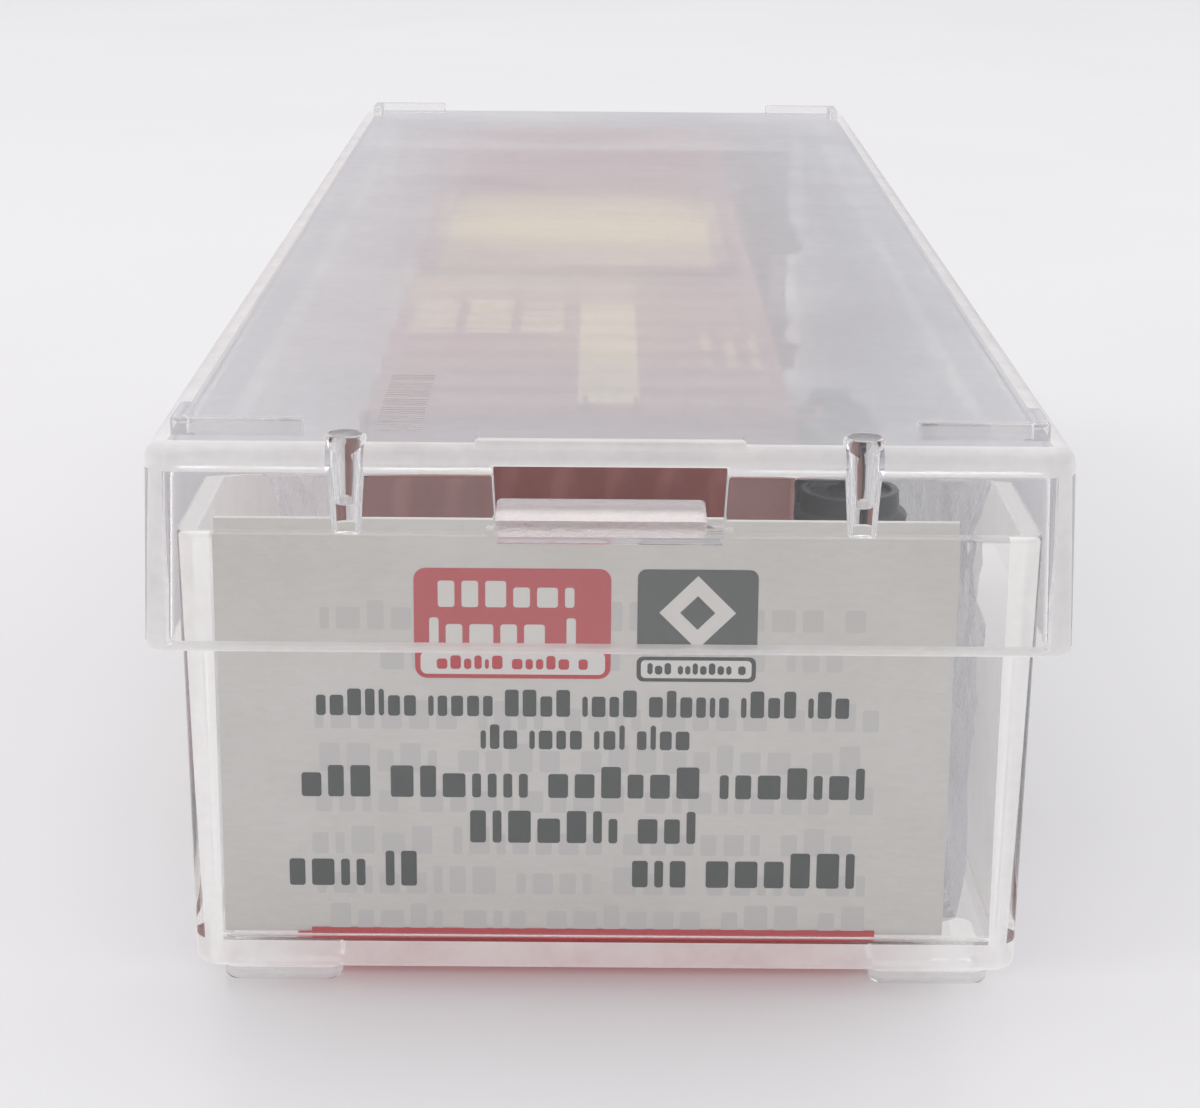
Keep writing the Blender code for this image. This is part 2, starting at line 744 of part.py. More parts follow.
def make_truck_frame(name, truck, material):
    """Side frames, bolster and coupler tray in one moulding; its origin is on the swivel axis."""
    reach = FRAME_X[0] + 0.4
    frame = block(
        name, (-reach, -BOLSTER_HALF, BOLSTER_Z[0]), (reach, BOLSTER_HALF, BOLSTER_Z[1] - 0.1), parent=truck
    )
    for side in (-1, 1):
        low, high = sorted((side * FRAME_X[0], side * FRAME_X[1]))
        join(frame, plate("side_frame", side_frame_outlines(), low, high, facing="X", parent=truck))
    centre_plate = cylinder(
        "centre_plate", CENTRE_PLATE_R, CENTRE_PLATE_R, 4.4, CENTRE_PLATE_Z, 20, parent=truck
    )
    tongue = block("tongue", (-1.2, 0.8, TRAY_Z[0] + 0.1), (1.2, TRAY_Y[0] + 0.3, 4.75), parent=truck)
    tray_low = (-TRAY_HALF, TRAY_Y[0], TRAY_Z[0])
    tray_high = (TRAY_HALF, TRAY_Y[1], TRAY_Z[1])
    tray = block("tray", tray_low, tray_high, parent=truck)
    join(frame, centre_plate, tongue, tray)
    tray_room = block(
        "tray_room",
        (-TRAY_HALF + TRAY_WALL, TRAY_Y[0] + 0.6, TRAY_Z[0] + TRAY_FLOOR),
        (TRAY_HALF - TRAY_WALL, TRAY_Y[1] + 1.0, TRAY_Z[1] + 1.0),
        parent=truck,
    )
    pin_hole = cylinder("truck_pin_hole", PIN_HOLE_R, PIN_HOLE_R, 2.5, 7.0, 16, parent=truck)
    cut(frame, tray_room, pin_hole)
    post = cylinder(
        "coupler_post", POST_R, POST_R, TRAY_Z[0] + 0.2, TRAY_Z[1], 14, parent=truck, at=(0, PIVOT_Y, 0)
    )
    join(frame, post)
    for side in (-1, 1):
        low, high = sorted((side * (FRAME_X[0] - 0.3), side * (FRAME_X[1] - 0.25)))
        for end in (-1, 1):
            journal = cylinder(
                "journal", 0.72, 0.72, low, high, 12, axis="X", parent=truck, at=(0, end * AXLE_Y, AXLE_Z)
            )
            cut(frame, journal)
    return paint(frame, material)


def make_wheelset(name, truck, end, material):
    """Two flanged wheels on one axle with pointed ends; its origin is on the axle."""
    half = [
        (0.0, 6.85),
        (0.12, 6.8),
        (0.5, 6.15),
        (0.55, 5.45),
        (1.1, 5.4),
        (1.9, 5.15),
        (2.15, 5.4),
        (2.55, 5.4),
        (2.62, 4.4),
        (3.02, 4.15),
        (2.98, 3.85),
        (2.1, 3.85),
        (1.0, 4.1),
        (0.6, 3.9),
    ]
    profile = half + [(radius, -place) for radius, place in reversed(half)]
    wheelset = turned(name, profile, 18, axis="X", parent=truck, at=(0, end * AXLE_Y, AXLE_Z))
    return paint(wheelset, material)


def make_bolster_pin(name, truck, material):
    """Headed pin that holds the truck to the underframe."""
    low, high = PIN_Z
    pin = turned(
        name,
        [
            (0.0, high),
            (PIN_R - 0.12, high),
            (PIN_R, high - 0.3),
            (PIN_R, low + PIN_HEAD),
            (PIN_HEAD_R, low + PIN_HEAD),
            (PIN_HEAD_R, low + 0.2),
            (PIN_HEAD_R - 0.25, low),
            (0.0, low),
        ],
        16,
        parent=truck,
    )
    slot = block("pin_slot", (-2.0, -0.16, low - 0.5), (2.0, 0.16, low + 0.22), parent=truck)
    cut(pin, slot)
    return paint(pin, material)


def shank_outline(side):
    """A round hub and a straight bar, whose end is narrow and lies on the side of its own jaw."""
    hub = arc((0, 0), 1.0, 140, 400, 13)
    neck = SHANK_HALF
    split = 0.1 * side
    end = [(neck, 4.2), (split, 4.2), (split, 4.6), (-neck, 4.6)]
    if side > 0:
        end = [(neck, 4.6), (split, 4.6), (split, 4.2), (-neck, 4.2)]
    return hub + end


def slot_outline(end):
    """The long hole around the post."""
    near = arc((0, SLOT_START + SLOT_HALF), SLOT_HALF, 180, 360, 7)
    return near + [(SLOT_HALF, end), (-SLOT_HALF, end)]


def guard_arm():
    """The fixed side of the head, in plan."""
    return [(-0.1, 4.3), (-0.1, 4.75)] + arc((-0.5, 5.15), 0.4, -45, 60, 4) + [
        (-0.75, 6.1),
        (-1.25, 6.2),
        (-1.35, 5.4),
        (-0.8, 4.3),
    ]


def knuckle():
    """The hooked side of the head, in plan."""
    return [
        (0.05, 4.3),
        (0.8, 4.3),
        (1.25, 4.9),
        (1.25, 5.6),
        (0.95, 6.0),
        (0.3, 6.05),
        (0.15, 5.75),
        (0.2, 5.45),
        (0.75, 5.4),
        (0.7, 5.0),
        (0.05, 4.75),
    ]


# layer, side of the split, slot end and head; only the upper half's slot also holds the spring
SPRING_SLOT_END = 2.7
COUPLER_HALVES = {
    "upper": (UPPER_Z, -1, SPRING_SLOT_END, guard_arm()),
    "lower": (LOWER_Z, 1, 0.5, knuckle()),
}


def make_coupler_half(which, letter, truck, material):
    """One coupler half: a flat shank with its part of the head; its origin is on the pivot."""
    layer, side, slot_end, head = COUPLER_HALVES[which]
    name = f"coupler_{which}_{letter}"
    pivot = (0, PIVOT_Y, 0)
    half = plate(name, [shank_outline(side), slot_outline(slot_end)], *layer, parent=truck, at=pivot)
    jaw = plate(name + "_jaw", [head], HEAD_Z[0], HEAD_Z[1], parent=truck, at=pivot)
    join(half, jaw)
    return paint(half, material)


def make_coupler_spring(name, truck, material):
    """Fine coil in the slot in front of the post."""
    start, end = POST_R + 0.12, SPRING_SLOT_END - 0.12
    points = []
    per_turn = 10
    count = SPRING_TURNS * per_turn
    for i in range(count + 1):
        angle = math.tau * i / per_turn
        y = interpolate(start, end, i / count)
        points.append((SPRING_R * math.cos(angle), y, SPRING_R * math.sin(angle)))
    middle_z = sum(UPPER_Z) / 2
    spring = wire(name, points, SPRING_WIRE, resolution=0, parent=truck, at=(0, PIVOT_Y, middle_z))
    return paint(spring, material)


def make_trip_pin(name, truck, material):
    """Bent wire that hangs under the coupler's lower half."""
    points = [(0.0, 3.75, HEAD_Z[0] + 0.2), (0.0, 3.75, 2.4)]
    for degrees in range(15, 106, 15):
        angle = math.radians(degrees)
        points.append((0.0, 5.35 - 1.6 * math.cos(angle), 2.4 - 1.45 * math.sin(angle)))
    pin = wire(name, points, 0.17, resolution=1, parent=truck, at=(0, PIVOT_Y, 0))
    return paint(pin, material)


def make_coupler_lid(name, truck, material):
    """Cover of the coupler tray."""
    lid = block(
        name,
        (-TRAY_HALF, TRAY_Y[0] + 0.05, TRAY_Z[1] + 0.05),
        (TRAY_HALF, TRAY_Y[1], TRAY_Z[1] + 0.42),
        parent=truck,
    )
    return paint(lid, material)


def make_truck(letter, y, turn, slate, metal, steel):
    """One truck with its pin, wheelsets and coupler."""
    truck = empty("truck_" + letter, CAR, (0, y, 0), (0, 0, turn))
    make_truck_frame("truck_frame_" + letter, truck, slate)
    make_bolster_pin("bolster_pin_" + letter, truck, steel)
    make_wheelset(f"wheelset_{letter}_inner", truck, -1, slate)
    make_wheelset(f"wheelset_{letter}_outer", truck, 1, slate)
    make_coupler_lid("coupler_lid_" + letter, truck, slate)
    make_coupler_half("upper", letter, truck, slate)
    lower = make_coupler_half("lower", letter, truck, slate)
    pin_hole = cylinder("trip_hole", 0.22, 0.22, 3.5, 6.6, 8, parent=truck, at=(0, PIVOT_Y + 3.75, 0))
    cut(lower, pin_hole)
    make_coupler_spring("coupler_spring_" + letter, truck, metal)
    make_trip_pin("trip_pin_" + letter, truck, steel)


# ---- build ---------------------------------------------------------------------------------------
clear_scene()
PARTS = new_collection("boxed_box_car")
CUTTERS = new_collection("cutters")
CAR = empty("car_frame", None, (RAIL_X, CAR_Y, CAR_CENTRE_Z), (0, -math.pi / 2, 0))

CLEAR = make_material("clear_polystyrene", (0.93, 0.94, 0.95), 0.05, alpha=0.25)
FROSTED = make_material("frosted_polystyrene", (0.9, 0.9, 0.92), 0.5, alpha=0.7)
CARD = make_material("printed_card", (0.72, 0.71, 0.69), 0.8)
FILM = make_material("clear_film", (0.9, 0.9, 0.93), 0.1, alpha=0.2)
MAROON = make_material("maroon_paint", (0.27, 0.06, 0.05), 0.45)
YELLOW = make_material("yellow_paint", (0.83, 0.68, 0.3), 0.45)
SLATE = make_material("slate_plastic", (0.06, 0.07, 0.075), 0.5)
STEEL = make_material("steel", (0.45, 0.45, 0.46), 0.35, metallic=1.0)
BRONZE = make_material("bronze_wire", (0.55, 0.4, 0.2), 0.3, metallic=1.0)

make_case_base(CLEAR)
make_case_lid(CLEAR)
make_latch_tongue(FROSTED)
make_label_card(CARD)
make_film_cradle(FILM)
make_body_shell(MAROON)
make_door("door_upper", 1, YELLOW)
make_door("door_lower", -1, YELLOW)
make_underframe(SLATE)
make_weight(STEEL)
make_brake_wheel(MAROON)
make_truck("a", -TRUCK_Y, math.pi, SLATE, BRONZE, STEEL)
make_truck("b", TRUCK_Y, 0.0, SLATE, BRONZE, STEEL)
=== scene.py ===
"""Looks of a 1:160 rib-side box car that lies on its side in a clear hinged display case.

Sizes are in millimetres until a mesh is finished, when they turn into metres. The case pieces are built
straight in the frame: X right, Y away from the label end, Z up. The car pieces are built in the car's
own frame (x across, y along, z up from the rails) and laid down by the matrix CAR.
"""

import math
from random import Random

import bmesh
import bpy
from mathutils import Matrix, Vector, noise


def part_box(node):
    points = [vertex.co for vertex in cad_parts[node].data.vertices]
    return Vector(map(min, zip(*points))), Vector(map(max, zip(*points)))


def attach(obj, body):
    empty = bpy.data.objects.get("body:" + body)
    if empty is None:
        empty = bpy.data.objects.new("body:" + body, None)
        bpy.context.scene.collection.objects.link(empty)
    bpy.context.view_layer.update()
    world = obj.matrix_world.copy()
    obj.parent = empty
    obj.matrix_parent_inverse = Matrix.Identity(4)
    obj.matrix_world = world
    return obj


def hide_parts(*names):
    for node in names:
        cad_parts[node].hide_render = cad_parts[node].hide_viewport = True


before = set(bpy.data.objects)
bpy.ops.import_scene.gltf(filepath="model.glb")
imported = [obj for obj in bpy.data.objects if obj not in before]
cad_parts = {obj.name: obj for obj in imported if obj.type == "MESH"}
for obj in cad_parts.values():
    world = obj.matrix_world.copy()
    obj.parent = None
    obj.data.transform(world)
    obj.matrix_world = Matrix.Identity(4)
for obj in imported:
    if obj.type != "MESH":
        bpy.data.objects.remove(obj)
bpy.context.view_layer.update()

MM = 0.001
CREASE = math.radians(32)
SHARP = math.radians(40)  # edges above this angle are the ones that get rounded
PLASTIC_IOR = 1.59
TRAPPED_DEPTH = 2.5  # bounces after which light leaves clear plastic instead of staying inside it


def box_mm(node):
    """A CAD node's lowest and highest corners in millimetres."""
    low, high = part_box(node)
    return Vector(low) / MM, Vector(high) / MM


# ---- places taken from the frame -----------------------------------------------------------------
LID_LOW, LID_HIGH = box_mm("case_lid")
CARD_LOW, CARD_HIGH = box_mm("label_card")
FILM_LOW, FILM_HIGH = box_mm("film_cradle")
SHELL_LOW, SHELL_HIGH = box_mm("body_shell")
TONGUE_LOW, TONGUE_HIGH = box_mm("latch_tongue")

# ---- display case --------------------------------------------------------------------------------
RIDGE_RISE = 0.8
LID_TOP_Z = LID_HIGH.z - RIDGE_RISE
LID_SKIRT_Z = LID_LOW.z
LID_HALF_SKIRT = (LID_HIGH.x, -LID_LOW.y)
LID_HALF_TOP = (LID_HIGH.x - 0.25, -LID_LOW.y - 0.3)
LID_WALL = 1.15
LID_PLATE = 1.1
LID_CORNER = 1.3
LID_EDGE = 0.75
REAR_SKIRT_Z = 22.75
RIDGE_WIDTH = 0.7
RIDGE_LEGS = (6.0, 3.4)
RIDGE_INSET = (1.0, 2.0)
WINDOW_HALF = 5.25
WINDOW_DRAFT = 0.2
WINDOW_Z = (22.15, 25.62)
PAD_HALF, PAD_DEPTH, PAD_RISE = 6.05, 2.2, 0.22
POST_X, POST_INSET = (-11.8, 11.3), 0.95
POST_TOP_R, POST_FOOT_R = 0.95, 0.66
POST_TOP_Z, POST_FOOT_Z = 26.9, 22.3
BORE_TOP_R, BORE_FOOT_R, BORE_DEPTH = 0.76, 0.55, 3.1
RAISED_BARS_X = (-10.7, -8.6)

FOOT_HEIGHT, FOOT_SIZE, FOOT_INSET = 0.8, 5.6, (1.3, 0.25)
BASE_HALF_LOW = (19.4, 61.1)
BASE_HALF_RIM = (19.65, 61.45)
BASE_CORNER = 1.2
BASE_FLOOR, BASE_WALL = 1.2, 1.0
RIM_Z = 22.2
RIM_RISE_HALF, RIM_RISE = 5.6, 0.28
HINGE_Y, HINGE_Z = 60.3, 21.0
HINGE_PIN_R, HINGE_HOLE_R = 0.85, 0.93

# ---- car, in its own frame -----------------------------------------------------------------------
BODY_LOW = 5.8
RAIL_X = SHELL_HIGH.x + BODY_LOW
CAR_CENTRE_Z = (SHELL_LOW.z + SHELL_HIGH.z) / 2
CAR_Y = (SHELL_LOW.y + SHELL_HIGH.y) / 2
STRIPE_X = (-1.6, 1.6)  # the painted stripe, measured across the laid-down car
CAR = Matrix.Translation((RAIL_X, CAR_Y, CAR_CENTRE_Z)) @ Matrix.Rotation(-math.pi / 2, 4, "Y")


# ---- mesh tools ----------------------------------------------------------------------------------
def interpolate(low, high, share):
    """A value part of the way from low to high."""
    return low + (high - low) * share


def spaced(first, last, count):
    """Evenly spaced values, ends included."""
    return [interpolate(first, last, i / (count - 1)) for i in range(count)]


def smooth_step(value, low, high):
    """0 below low, 1 above high and a smooth rise between."""
    share = min(max((value - low) / (high - low), 0.0), 1.0)
    return share * share * (3 - 2 * share)


def crisp(mesh):
    """Smooth shading with crisp edges."""
    mesh.shade_smooth()
    mesh.set_sharp_from_angle(angle=CREASE)


def object_from(bm, name):
    """Turn a bmesh built in millimetres into an object in metres, smooth with crisp edges."""
    bmesh.ops.recalc_face_normals(bm, faces=bm.faces)
    bmesh.ops.scale(bm, vec=(MM, MM, MM), verts=bm.verts)
    mesh = bpy.data.meshes.new(name)
    bm.to_mesh(mesh)
    bm.free()
    crisp(mesh)
    item = bpy.data.objects.new(name, mesh)
    bpy.context.scene.collection.objects.link(item)
    return item


def settle(item):
    """Apply an object's modifiers to its mesh."""
    evaluated = item.evaluated_get(bpy.context.evaluated_depsgraph_get())
    mesh = bpy.data.meshes.new_from_object(evaluated)
    item.modifiers.clear()
    item.data = mesh
    mesh.name = item.name
    crisp(mesh)
    return item


def combine(target, operation, *tools):
    """Cut tools from the target or join them to it, and drop the tools."""
    for tool in tools:
        modifier = target.modifiers.new(tool.name, "BOOLEAN")
        modifier.operation = operation
        modifier.solver = "EXACT"
        modifier.object = tool
    settle(target)
    for tool in tools:
        bpy.data.objects.remove(tool)
    return target


def merge(target, *others):
    """Put other objects' meshes into the target's mesh."""
    bm = bmesh.new()
    bm.from_mesh(target.data)
    for other in others:
        bm.from_mesh(other.data)
        bpy.data.objects.remove(other)
    bm.to_mesh(target.data)
    bm.free()
    crisp(target.data)
    return target


def soften(item, width, segments=2):
    """Round an object's sharp edges and even out its normals."""
    bevel = item.modifiers.new("soften", "BEVEL")
    bevel.width = width * MM
    bevel.segments = segments
    bevel.limit_method = "ANGLE"
    bevel.angle_limit = SHARP
    bevel.use_clamp_overlap = True
    bevel.loop_slide = True
    settle(item)
    return item


def round_within(item, low, high, width):
    """Round the sharp edges that lie inside a box."""
    bm = bmesh.new()
    bm.from_mesh(item.data)
    low, high = Vector(low) * MM, Vector(high) * MM
    edges = []
    for edge in bm.edges:
        inside = all(low[i] <= v.co[i] <= high[i] for v in edge.verts for i in range(3))
        if inside and len(edge.link_faces) == 2 and edge.calc_face_angle() > SHARP:
            edges.append(edge)
    bmesh.ops.bevel(
        bm, geom=edges, offset=width * MM, segments=3, profile=0.5, affect="EDGES", clamp_overlap=True
    )
    bm.to_mesh(item.data)
    bm.free()
    crisp(item.data)


def even_normals(item):
    """Let broad faces keep flat normals next to their rounded edges."""
    weighted = item.modifiers.new("weighted_normals", "WEIGHTED_NORMAL")
    weighted.keep_sharp = True
    weighted.weight = 100
    return item


def add_block(bm, corner, opposite, rounding=0.0, segments=2):
    """A box between two opposite corners, with rounded edges if asked."""
    made = bmesh.ops.create_cube(bm, size=1.0)["verts"]
    size = [abs(b - a) for a, b in zip(corner, opposite)]
    bmesh.ops.scale(bm, vec=size, verts=made)
    bmesh.ops.translate(bm, vec=(Vector(corner) + Vector(opposite)) / 2, verts=made)
    if rounding:
        edges = {edge: None for vertex in made for edge in vertex.link_edges}
        bmesh.ops.bevel(bm, geom=list(edges), offset=rounding, segments=segments, profile=0.5, affect="EDGES")


def block(name, low, high, rounding=0.0, segments=2):
    """One box as an object."""
    bm = bmesh.new()
    add_block(bm, low, high, rounding, segments)
    return object_from(bm, name)


def add_loft(bm, rings):
    """Skin rings of points, each with the same count, and cap both ends."""
    loops = [[bm.verts.new(point) for point in ring] for ring in rings]
    count = len(loops[0])
    for lower, upper in zip(loops, loops[1:]):
        for i in range(count):
            j = (i + 1) % count
            bm.faces.new((lower[i], lower[j], upper[j], upper[i]))
    bm.faces.new(loops[0][::-1])
    bm.faces.new(loops[-1])


def border_steps(count_u, count_v):
    """Pairs of neighbouring places on a grid, once round its border."""
    border = [(i, 0) for i in range(count_u)]
    border += [(count_u, j) for j in range(count_v)]
    border += [(i, count_v) for i in range(count_u, 0, -1)]
    border += [(0, j) for j in range(count_v, 0, -1)]
    return list(zip(border, border[1:] + border[:1]))


def rounded_ring(half_x, half_y, radius, z, steps=6, centre=(0.0, 0.0)):
    """A rounded rectangle at one height."""
    points = []
    corners = ((1, 1, 0), (-1, 1, 90), (-1, -1, 180), (1, -1, 270))
    for side_x, side_y, start in corners:
        cx = centre[0] + side_x * (half_x - radius)
        cy = centre[1] + side_y * (half_y - radius)
        for i in range(steps + 1):
            angle = math.radians(start + 90 * i / steps)
            points.append((cx + radius * math.cos(angle), cy + radius * math.sin(angle), z))
    return points


def add_turned(bm, profile, steps, axis="Z", at=(0, 0, 0)):
    """A turned solid; profile is (radius, height) pairs and closes on the axis."""
    rings = []
    for radius, height in profile:
        ring = []
        for i in range(steps):
            angle = math.tau * i / steps
            u, v = radius * math.cos(angle), radius * math.sin(angle)
            point = {"X": (height, u, v), "Y": (v, height, u), "Z": (u, v, height)}[axis]
            ring.append(Vector(point) + Vector(at))
        rings.append(ring)
    add_loft(bm, rings)


def add_piece(item, body, slot, material, *stands_for):
    """Give a finished object its material and its body, and hide the CAD parts it stands for; slot is not
    used.
    """
    item.data.materials.clear()
    item.data.materials.append(material)
    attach(item, body)
    if stands_for:
        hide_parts(*stands_for)
    return item


# ---- material tools ------------------------------------------------------------------------------
class Shader:
    """A node material under construction; sizes of its patterns are in millimetres."""

    def __init__(self, name):
        self.material = bpy.data.materials.new(name)
        self.material.use_nodes = True
        self.tree = self.material.node_tree
        self.surface = self.tree.nodes["Principled BSDF"]
        self.output = self.tree.nodes["Material Output"]
        self.place = self.node("ShaderNodeTexCoord").outputs["Object"]

    def feed(self, node, key, value):
        """Set one input of a node: a socket is linked, and a colour gets its fourth number."""
        if isinstance(value, bpy.types.NodeSocket):
            self.tree.links.new(value, node.inputs[key])
        elif isinstance(value, tuple):
            node.inputs[key].default_value = (*value, 1.0)
        elif value is not None:
            node.inputs[key].default_value = value

    def node(self, kind, inputs=None, **settings):
        """Add a node, set its attributes and feed its inputs."""
        made = self.tree.nodes.new(kind)
        for key, value in settings.items():
            setattr(made, key, value)
        for key, value in (inputs or {}).items():
            self.feed(made, key, value)
        return made

    def grain(self, size, detail=3.0, roughness=0.55, stretch=(1, 1, 1)):
        """Noise with features of about one size; stretch lengthens them along an axis."""
        scale = [1.0 / part for part in stretch]
        mapping = self.node("ShaderNodeMapping", {"Scale": scale, "Vector": self.place})
        pattern = {"Scale": 1.0 / (size * MM), "Detail": detail, "Roughness": roughness}
        texture = self.node("ShaderNodeTexNoise", {**pattern, "Vector": mapping.outputs["Vector"]})
        return texture.outputs["Fac"]

    def ranged(self, value, low, high, start=0.3, end=0.7):
        """A value stretched from start..end to low..high."""
        spans = {"From Min": start, "From Max": end, "To Min": low, "To Max": high, "Value": value}
        return self.node("ShaderNodeMapRange", spans).outputs["Result"]

    def blend_colours(self, factor, first, second):
        """Two colours mixed by a factor socket."""
        parts = {"Factor": factor, "A": first, "B": second}
        return self.node("ShaderNodeMix", parts, data_type="RGBA").outputs["Result"]

    def combined(self, operation, *sockets):
        """Several value sockets put through one math operation."""
        total = sockets[0]
        for socket in sockets[1:]:
            total = self.node("ShaderNodeMath", {0: total, 1: socket}, operation=operation).outputs[0]
        return total

    def inside(self, **spans):
        """1 inside a box and 0 outside; spans are lowest and highest X, Y or Z in millimetres."""
        split = self.node("ShaderNodeSeparateXYZ", {"Vector": self.place})
        tests = []
        for axis, (low, high) in spans.items():
            limits = {0: split.outputs[axis], 1: (low + high) / 2 * MM, 2: (high - low) / 2 * MM}
            tests.append(self.node("ShaderNodeMath", limits, operation="COMPARE").outputs[0])
        return self.combined("MULTIPLY", *tests)

    def bump(self, height, depth):
        """Raise the surface by a height socket; depth is what a height of 1 stands for."""
        bump = self.node("ShaderNodeBump", {"Distance": depth * MM, "Strength": 1.0, "Height": height})
        self.feed(self.surface, "Normal", bump.outputs["Normal"])
        return bump.outputs["Normal"]

    def scatter(self, kind, colour, normal=None):
        """A surface of one simple kind and colour."""
        return self.node("ShaderNodeBsdf" + kind, {"Color": colour, "Normal": normal}).outputs["BSDF"]

    def mixed(self, amount, first, second):
        """Two surfaces mixed by a number or a socket."""
        return self.node("ShaderNodeMixShader", {"Fac": amount, 1: first, 2: second}).outputs["Shader"]

    def slant(self, normal=None):
        """How far the surface turns away from the eye, 0 to 1."""
        return self.node("ShaderNodeLayerWeight", {"Blend": 0.5, "Normal": normal}).outputs["Facing"]

    def set(self, **values):
        """Set sockets of the Principled shader; underscores stand for spaces."""
        for key, value in values.items():
            self.feed(self.surface, key.replace("_", " "), value)

    def show(self, surface):
        """Make a surface the one that is seen."""
        self.feed(self.output, "Surface", surface)


def make_milky(shader, surface, normal, amount, colour):
    """Let part of a clear surface scatter light to both sides; gives the new surface."""
    dull = shader.scatter("Diffuse", colour, normal)
    glow = shader.scatter("Translucent", colour, normal)
    return shader.mixed(amount, surface, shader.mixed(0.5, dull, glow))


def let_light_through(shader, surface, tint):
    """Make a clear material transparent to shadow and diffuse rays and to light that is trapped in it."""
    path = shader.node("ShaderNodeLightPath").outputs
    depth = {0: path["Ray Depth"], 1: TRAPPED_DEPTH}
    trapped = shader.node("ShaderNodeMath", depth, operation="GREATER_THAN").outputs[0]
    passing = shader.combined("MAXIMUM", path["Is Shadow Ray"], path["Is Diffuse Ray"], trapped)
    shader.show(shader.mixed(passing, surface, shader.scatter("Transparent", tint)))


def clear_plastic(name, tint, haze, bright_edges, edge_light):
    """Clear moulded polystyrene: faint waves, fine scuffs, and edges with painted light on them.

    haze is its colour, its strength and the slants between which it comes up. bright_edges are the
    boxes, as spans for Shader.inside, that get a painted white coat standing for light led through the
    walls; edge_light is how strongly those boxes glow as painted light.
    """
    shader = Shader(name)
    waves = shader.ranged(shader.grain(9.0, 1.0), 0.0, 1.0)
    scratches = shader.ranged(shader.grain(0.5, 4.0, stretch=(1, 7, 1)), 0.0, 0.04)
    normal = shader.bump(shader.combined("ADD", waves, scratches), 0.0036)
    rough = shader.ranged(shader.grain(2.2, 5.0, 0.7), 0.008, 0.06, 0.45, 0.8)
    shader.set(Base_Color=tint, Roughness=rough, IOR=PLASTIC_IOR, Transmission_Weight=1.0)
    colour, strength, start, end = haze
    patchy = shader.ranged(shader.grain(14.0, 4.0, 0.6), 0.75, 1.15)
    turned_away = shader.ranged(shader.slant(), 0.0, strength, start, end)
    amount = shader.combined("MULTIPLY", turned_away, patchy)
    surface = make_milky(shader, shader.surface.outputs["BSDF"], normal, amount, colour)
    # Painted light: a near-white coat in the edge boxes stands for light led through the walls.
    edges = shader.combined("MAXIMUM", *[shader.inside(**spans) for spans in bright_edges])
    uneven = shader.ranged(shader.grain(3.0, 3.0), 0.7, 0.95)
    amount = shader.combined("MULTIPLY", edges, uneven)
    surface = make_milky(shader, surface, normal, amount, (0.94, 0.93, 0.925))
    # Painted light: the edge boxes glow, though they are no lamp.
    if edge_light:
        glow = {"Strength": shader.ranged(edges, 0.0, edge_light, 0.0, 1.0)}
        lit = shader.node("ShaderNodeEmission", glow).outputs["Emission"]
        surface = shader.node("ShaderNodeAddShader", {0: surface, 1: lit}).outputs["Shader"]
    let_light_through(shader, surface, tuple(part ** 0.5 for part in tint))
    return shader.material


def frosted_plastic(name):
    """Spark-eroded clear polystyrene of the latch tongue."""
    shader = Shader(name)
    shader.bump(shader.grain(0.22, 3.0, 0.7), 0.05)
    shader.set(Base_Color=(0.82, 0.75, 0.765), Roughness=0.24, IOR=PLASTIC_IOR, Transmission_Weight=1.0)
    let_light_through(shader, shader.surface.outputs["BSDF"], (0.95, 0.93, 0.935))
    return shader.material


def paper(name, colour, fleck):
    """Uncoated card with fibres."""
    shader = Shader(name)
    fibres = shader.grain(0.22, 5.0, 0.65, stretch=(3, 1, 1))
    clouds = shader.grain(6.0, 2.0)
    cast = shader.combined("ADD", fibres, clouds)
    tone = shader.blend_colours(shader.ranged(cast, 0.0, 1.0, 0.75, 1.25), fleck, colour)
    shader.bump(fibres, 0.02)
    shader.set(Base_Color=tone, Roughness=0.85, Specular_IOR_Level=0.25)
    return shader.material


def ink(name, colour, worn, glow=0.0):
    """Printed ink with a slightly uneven cover; glow stands for light that comes through the card."""
    shader = Shader(name)
    cover = shader.ranged(shader.grain(0.12, 4.0, 0.7), 0.0, 1.0, 0.2, 0.42)
    shader.set(Base_Color=shader.blend_colours(cover, worn, colour), Roughness=0.6)
    if glow:
        shader.set(Emission_Color=colour, Emission_Strength=glow)
    return shader.material


def satin_paint(name, colour, shade, roughness=0.42):
    """Spray paint on a moulding: slight clouds, fine grain and rubbed spots."""
    shader = Shader(name)
    clouds = shader.ranged(shader.grain(5.0, 3.0), 0.0, 1.0)
    shader.bump(shader.grain(0.1, 3.0), 0.006)
    rough = shader.ranged(shader.grain(1.3, 4.0), roughness - 0.08, roughness + 0.12)
    shader.set(Base_Color=shader.blend_colours(clouds, shade, colour), Roughness=rough)
    return shader.material


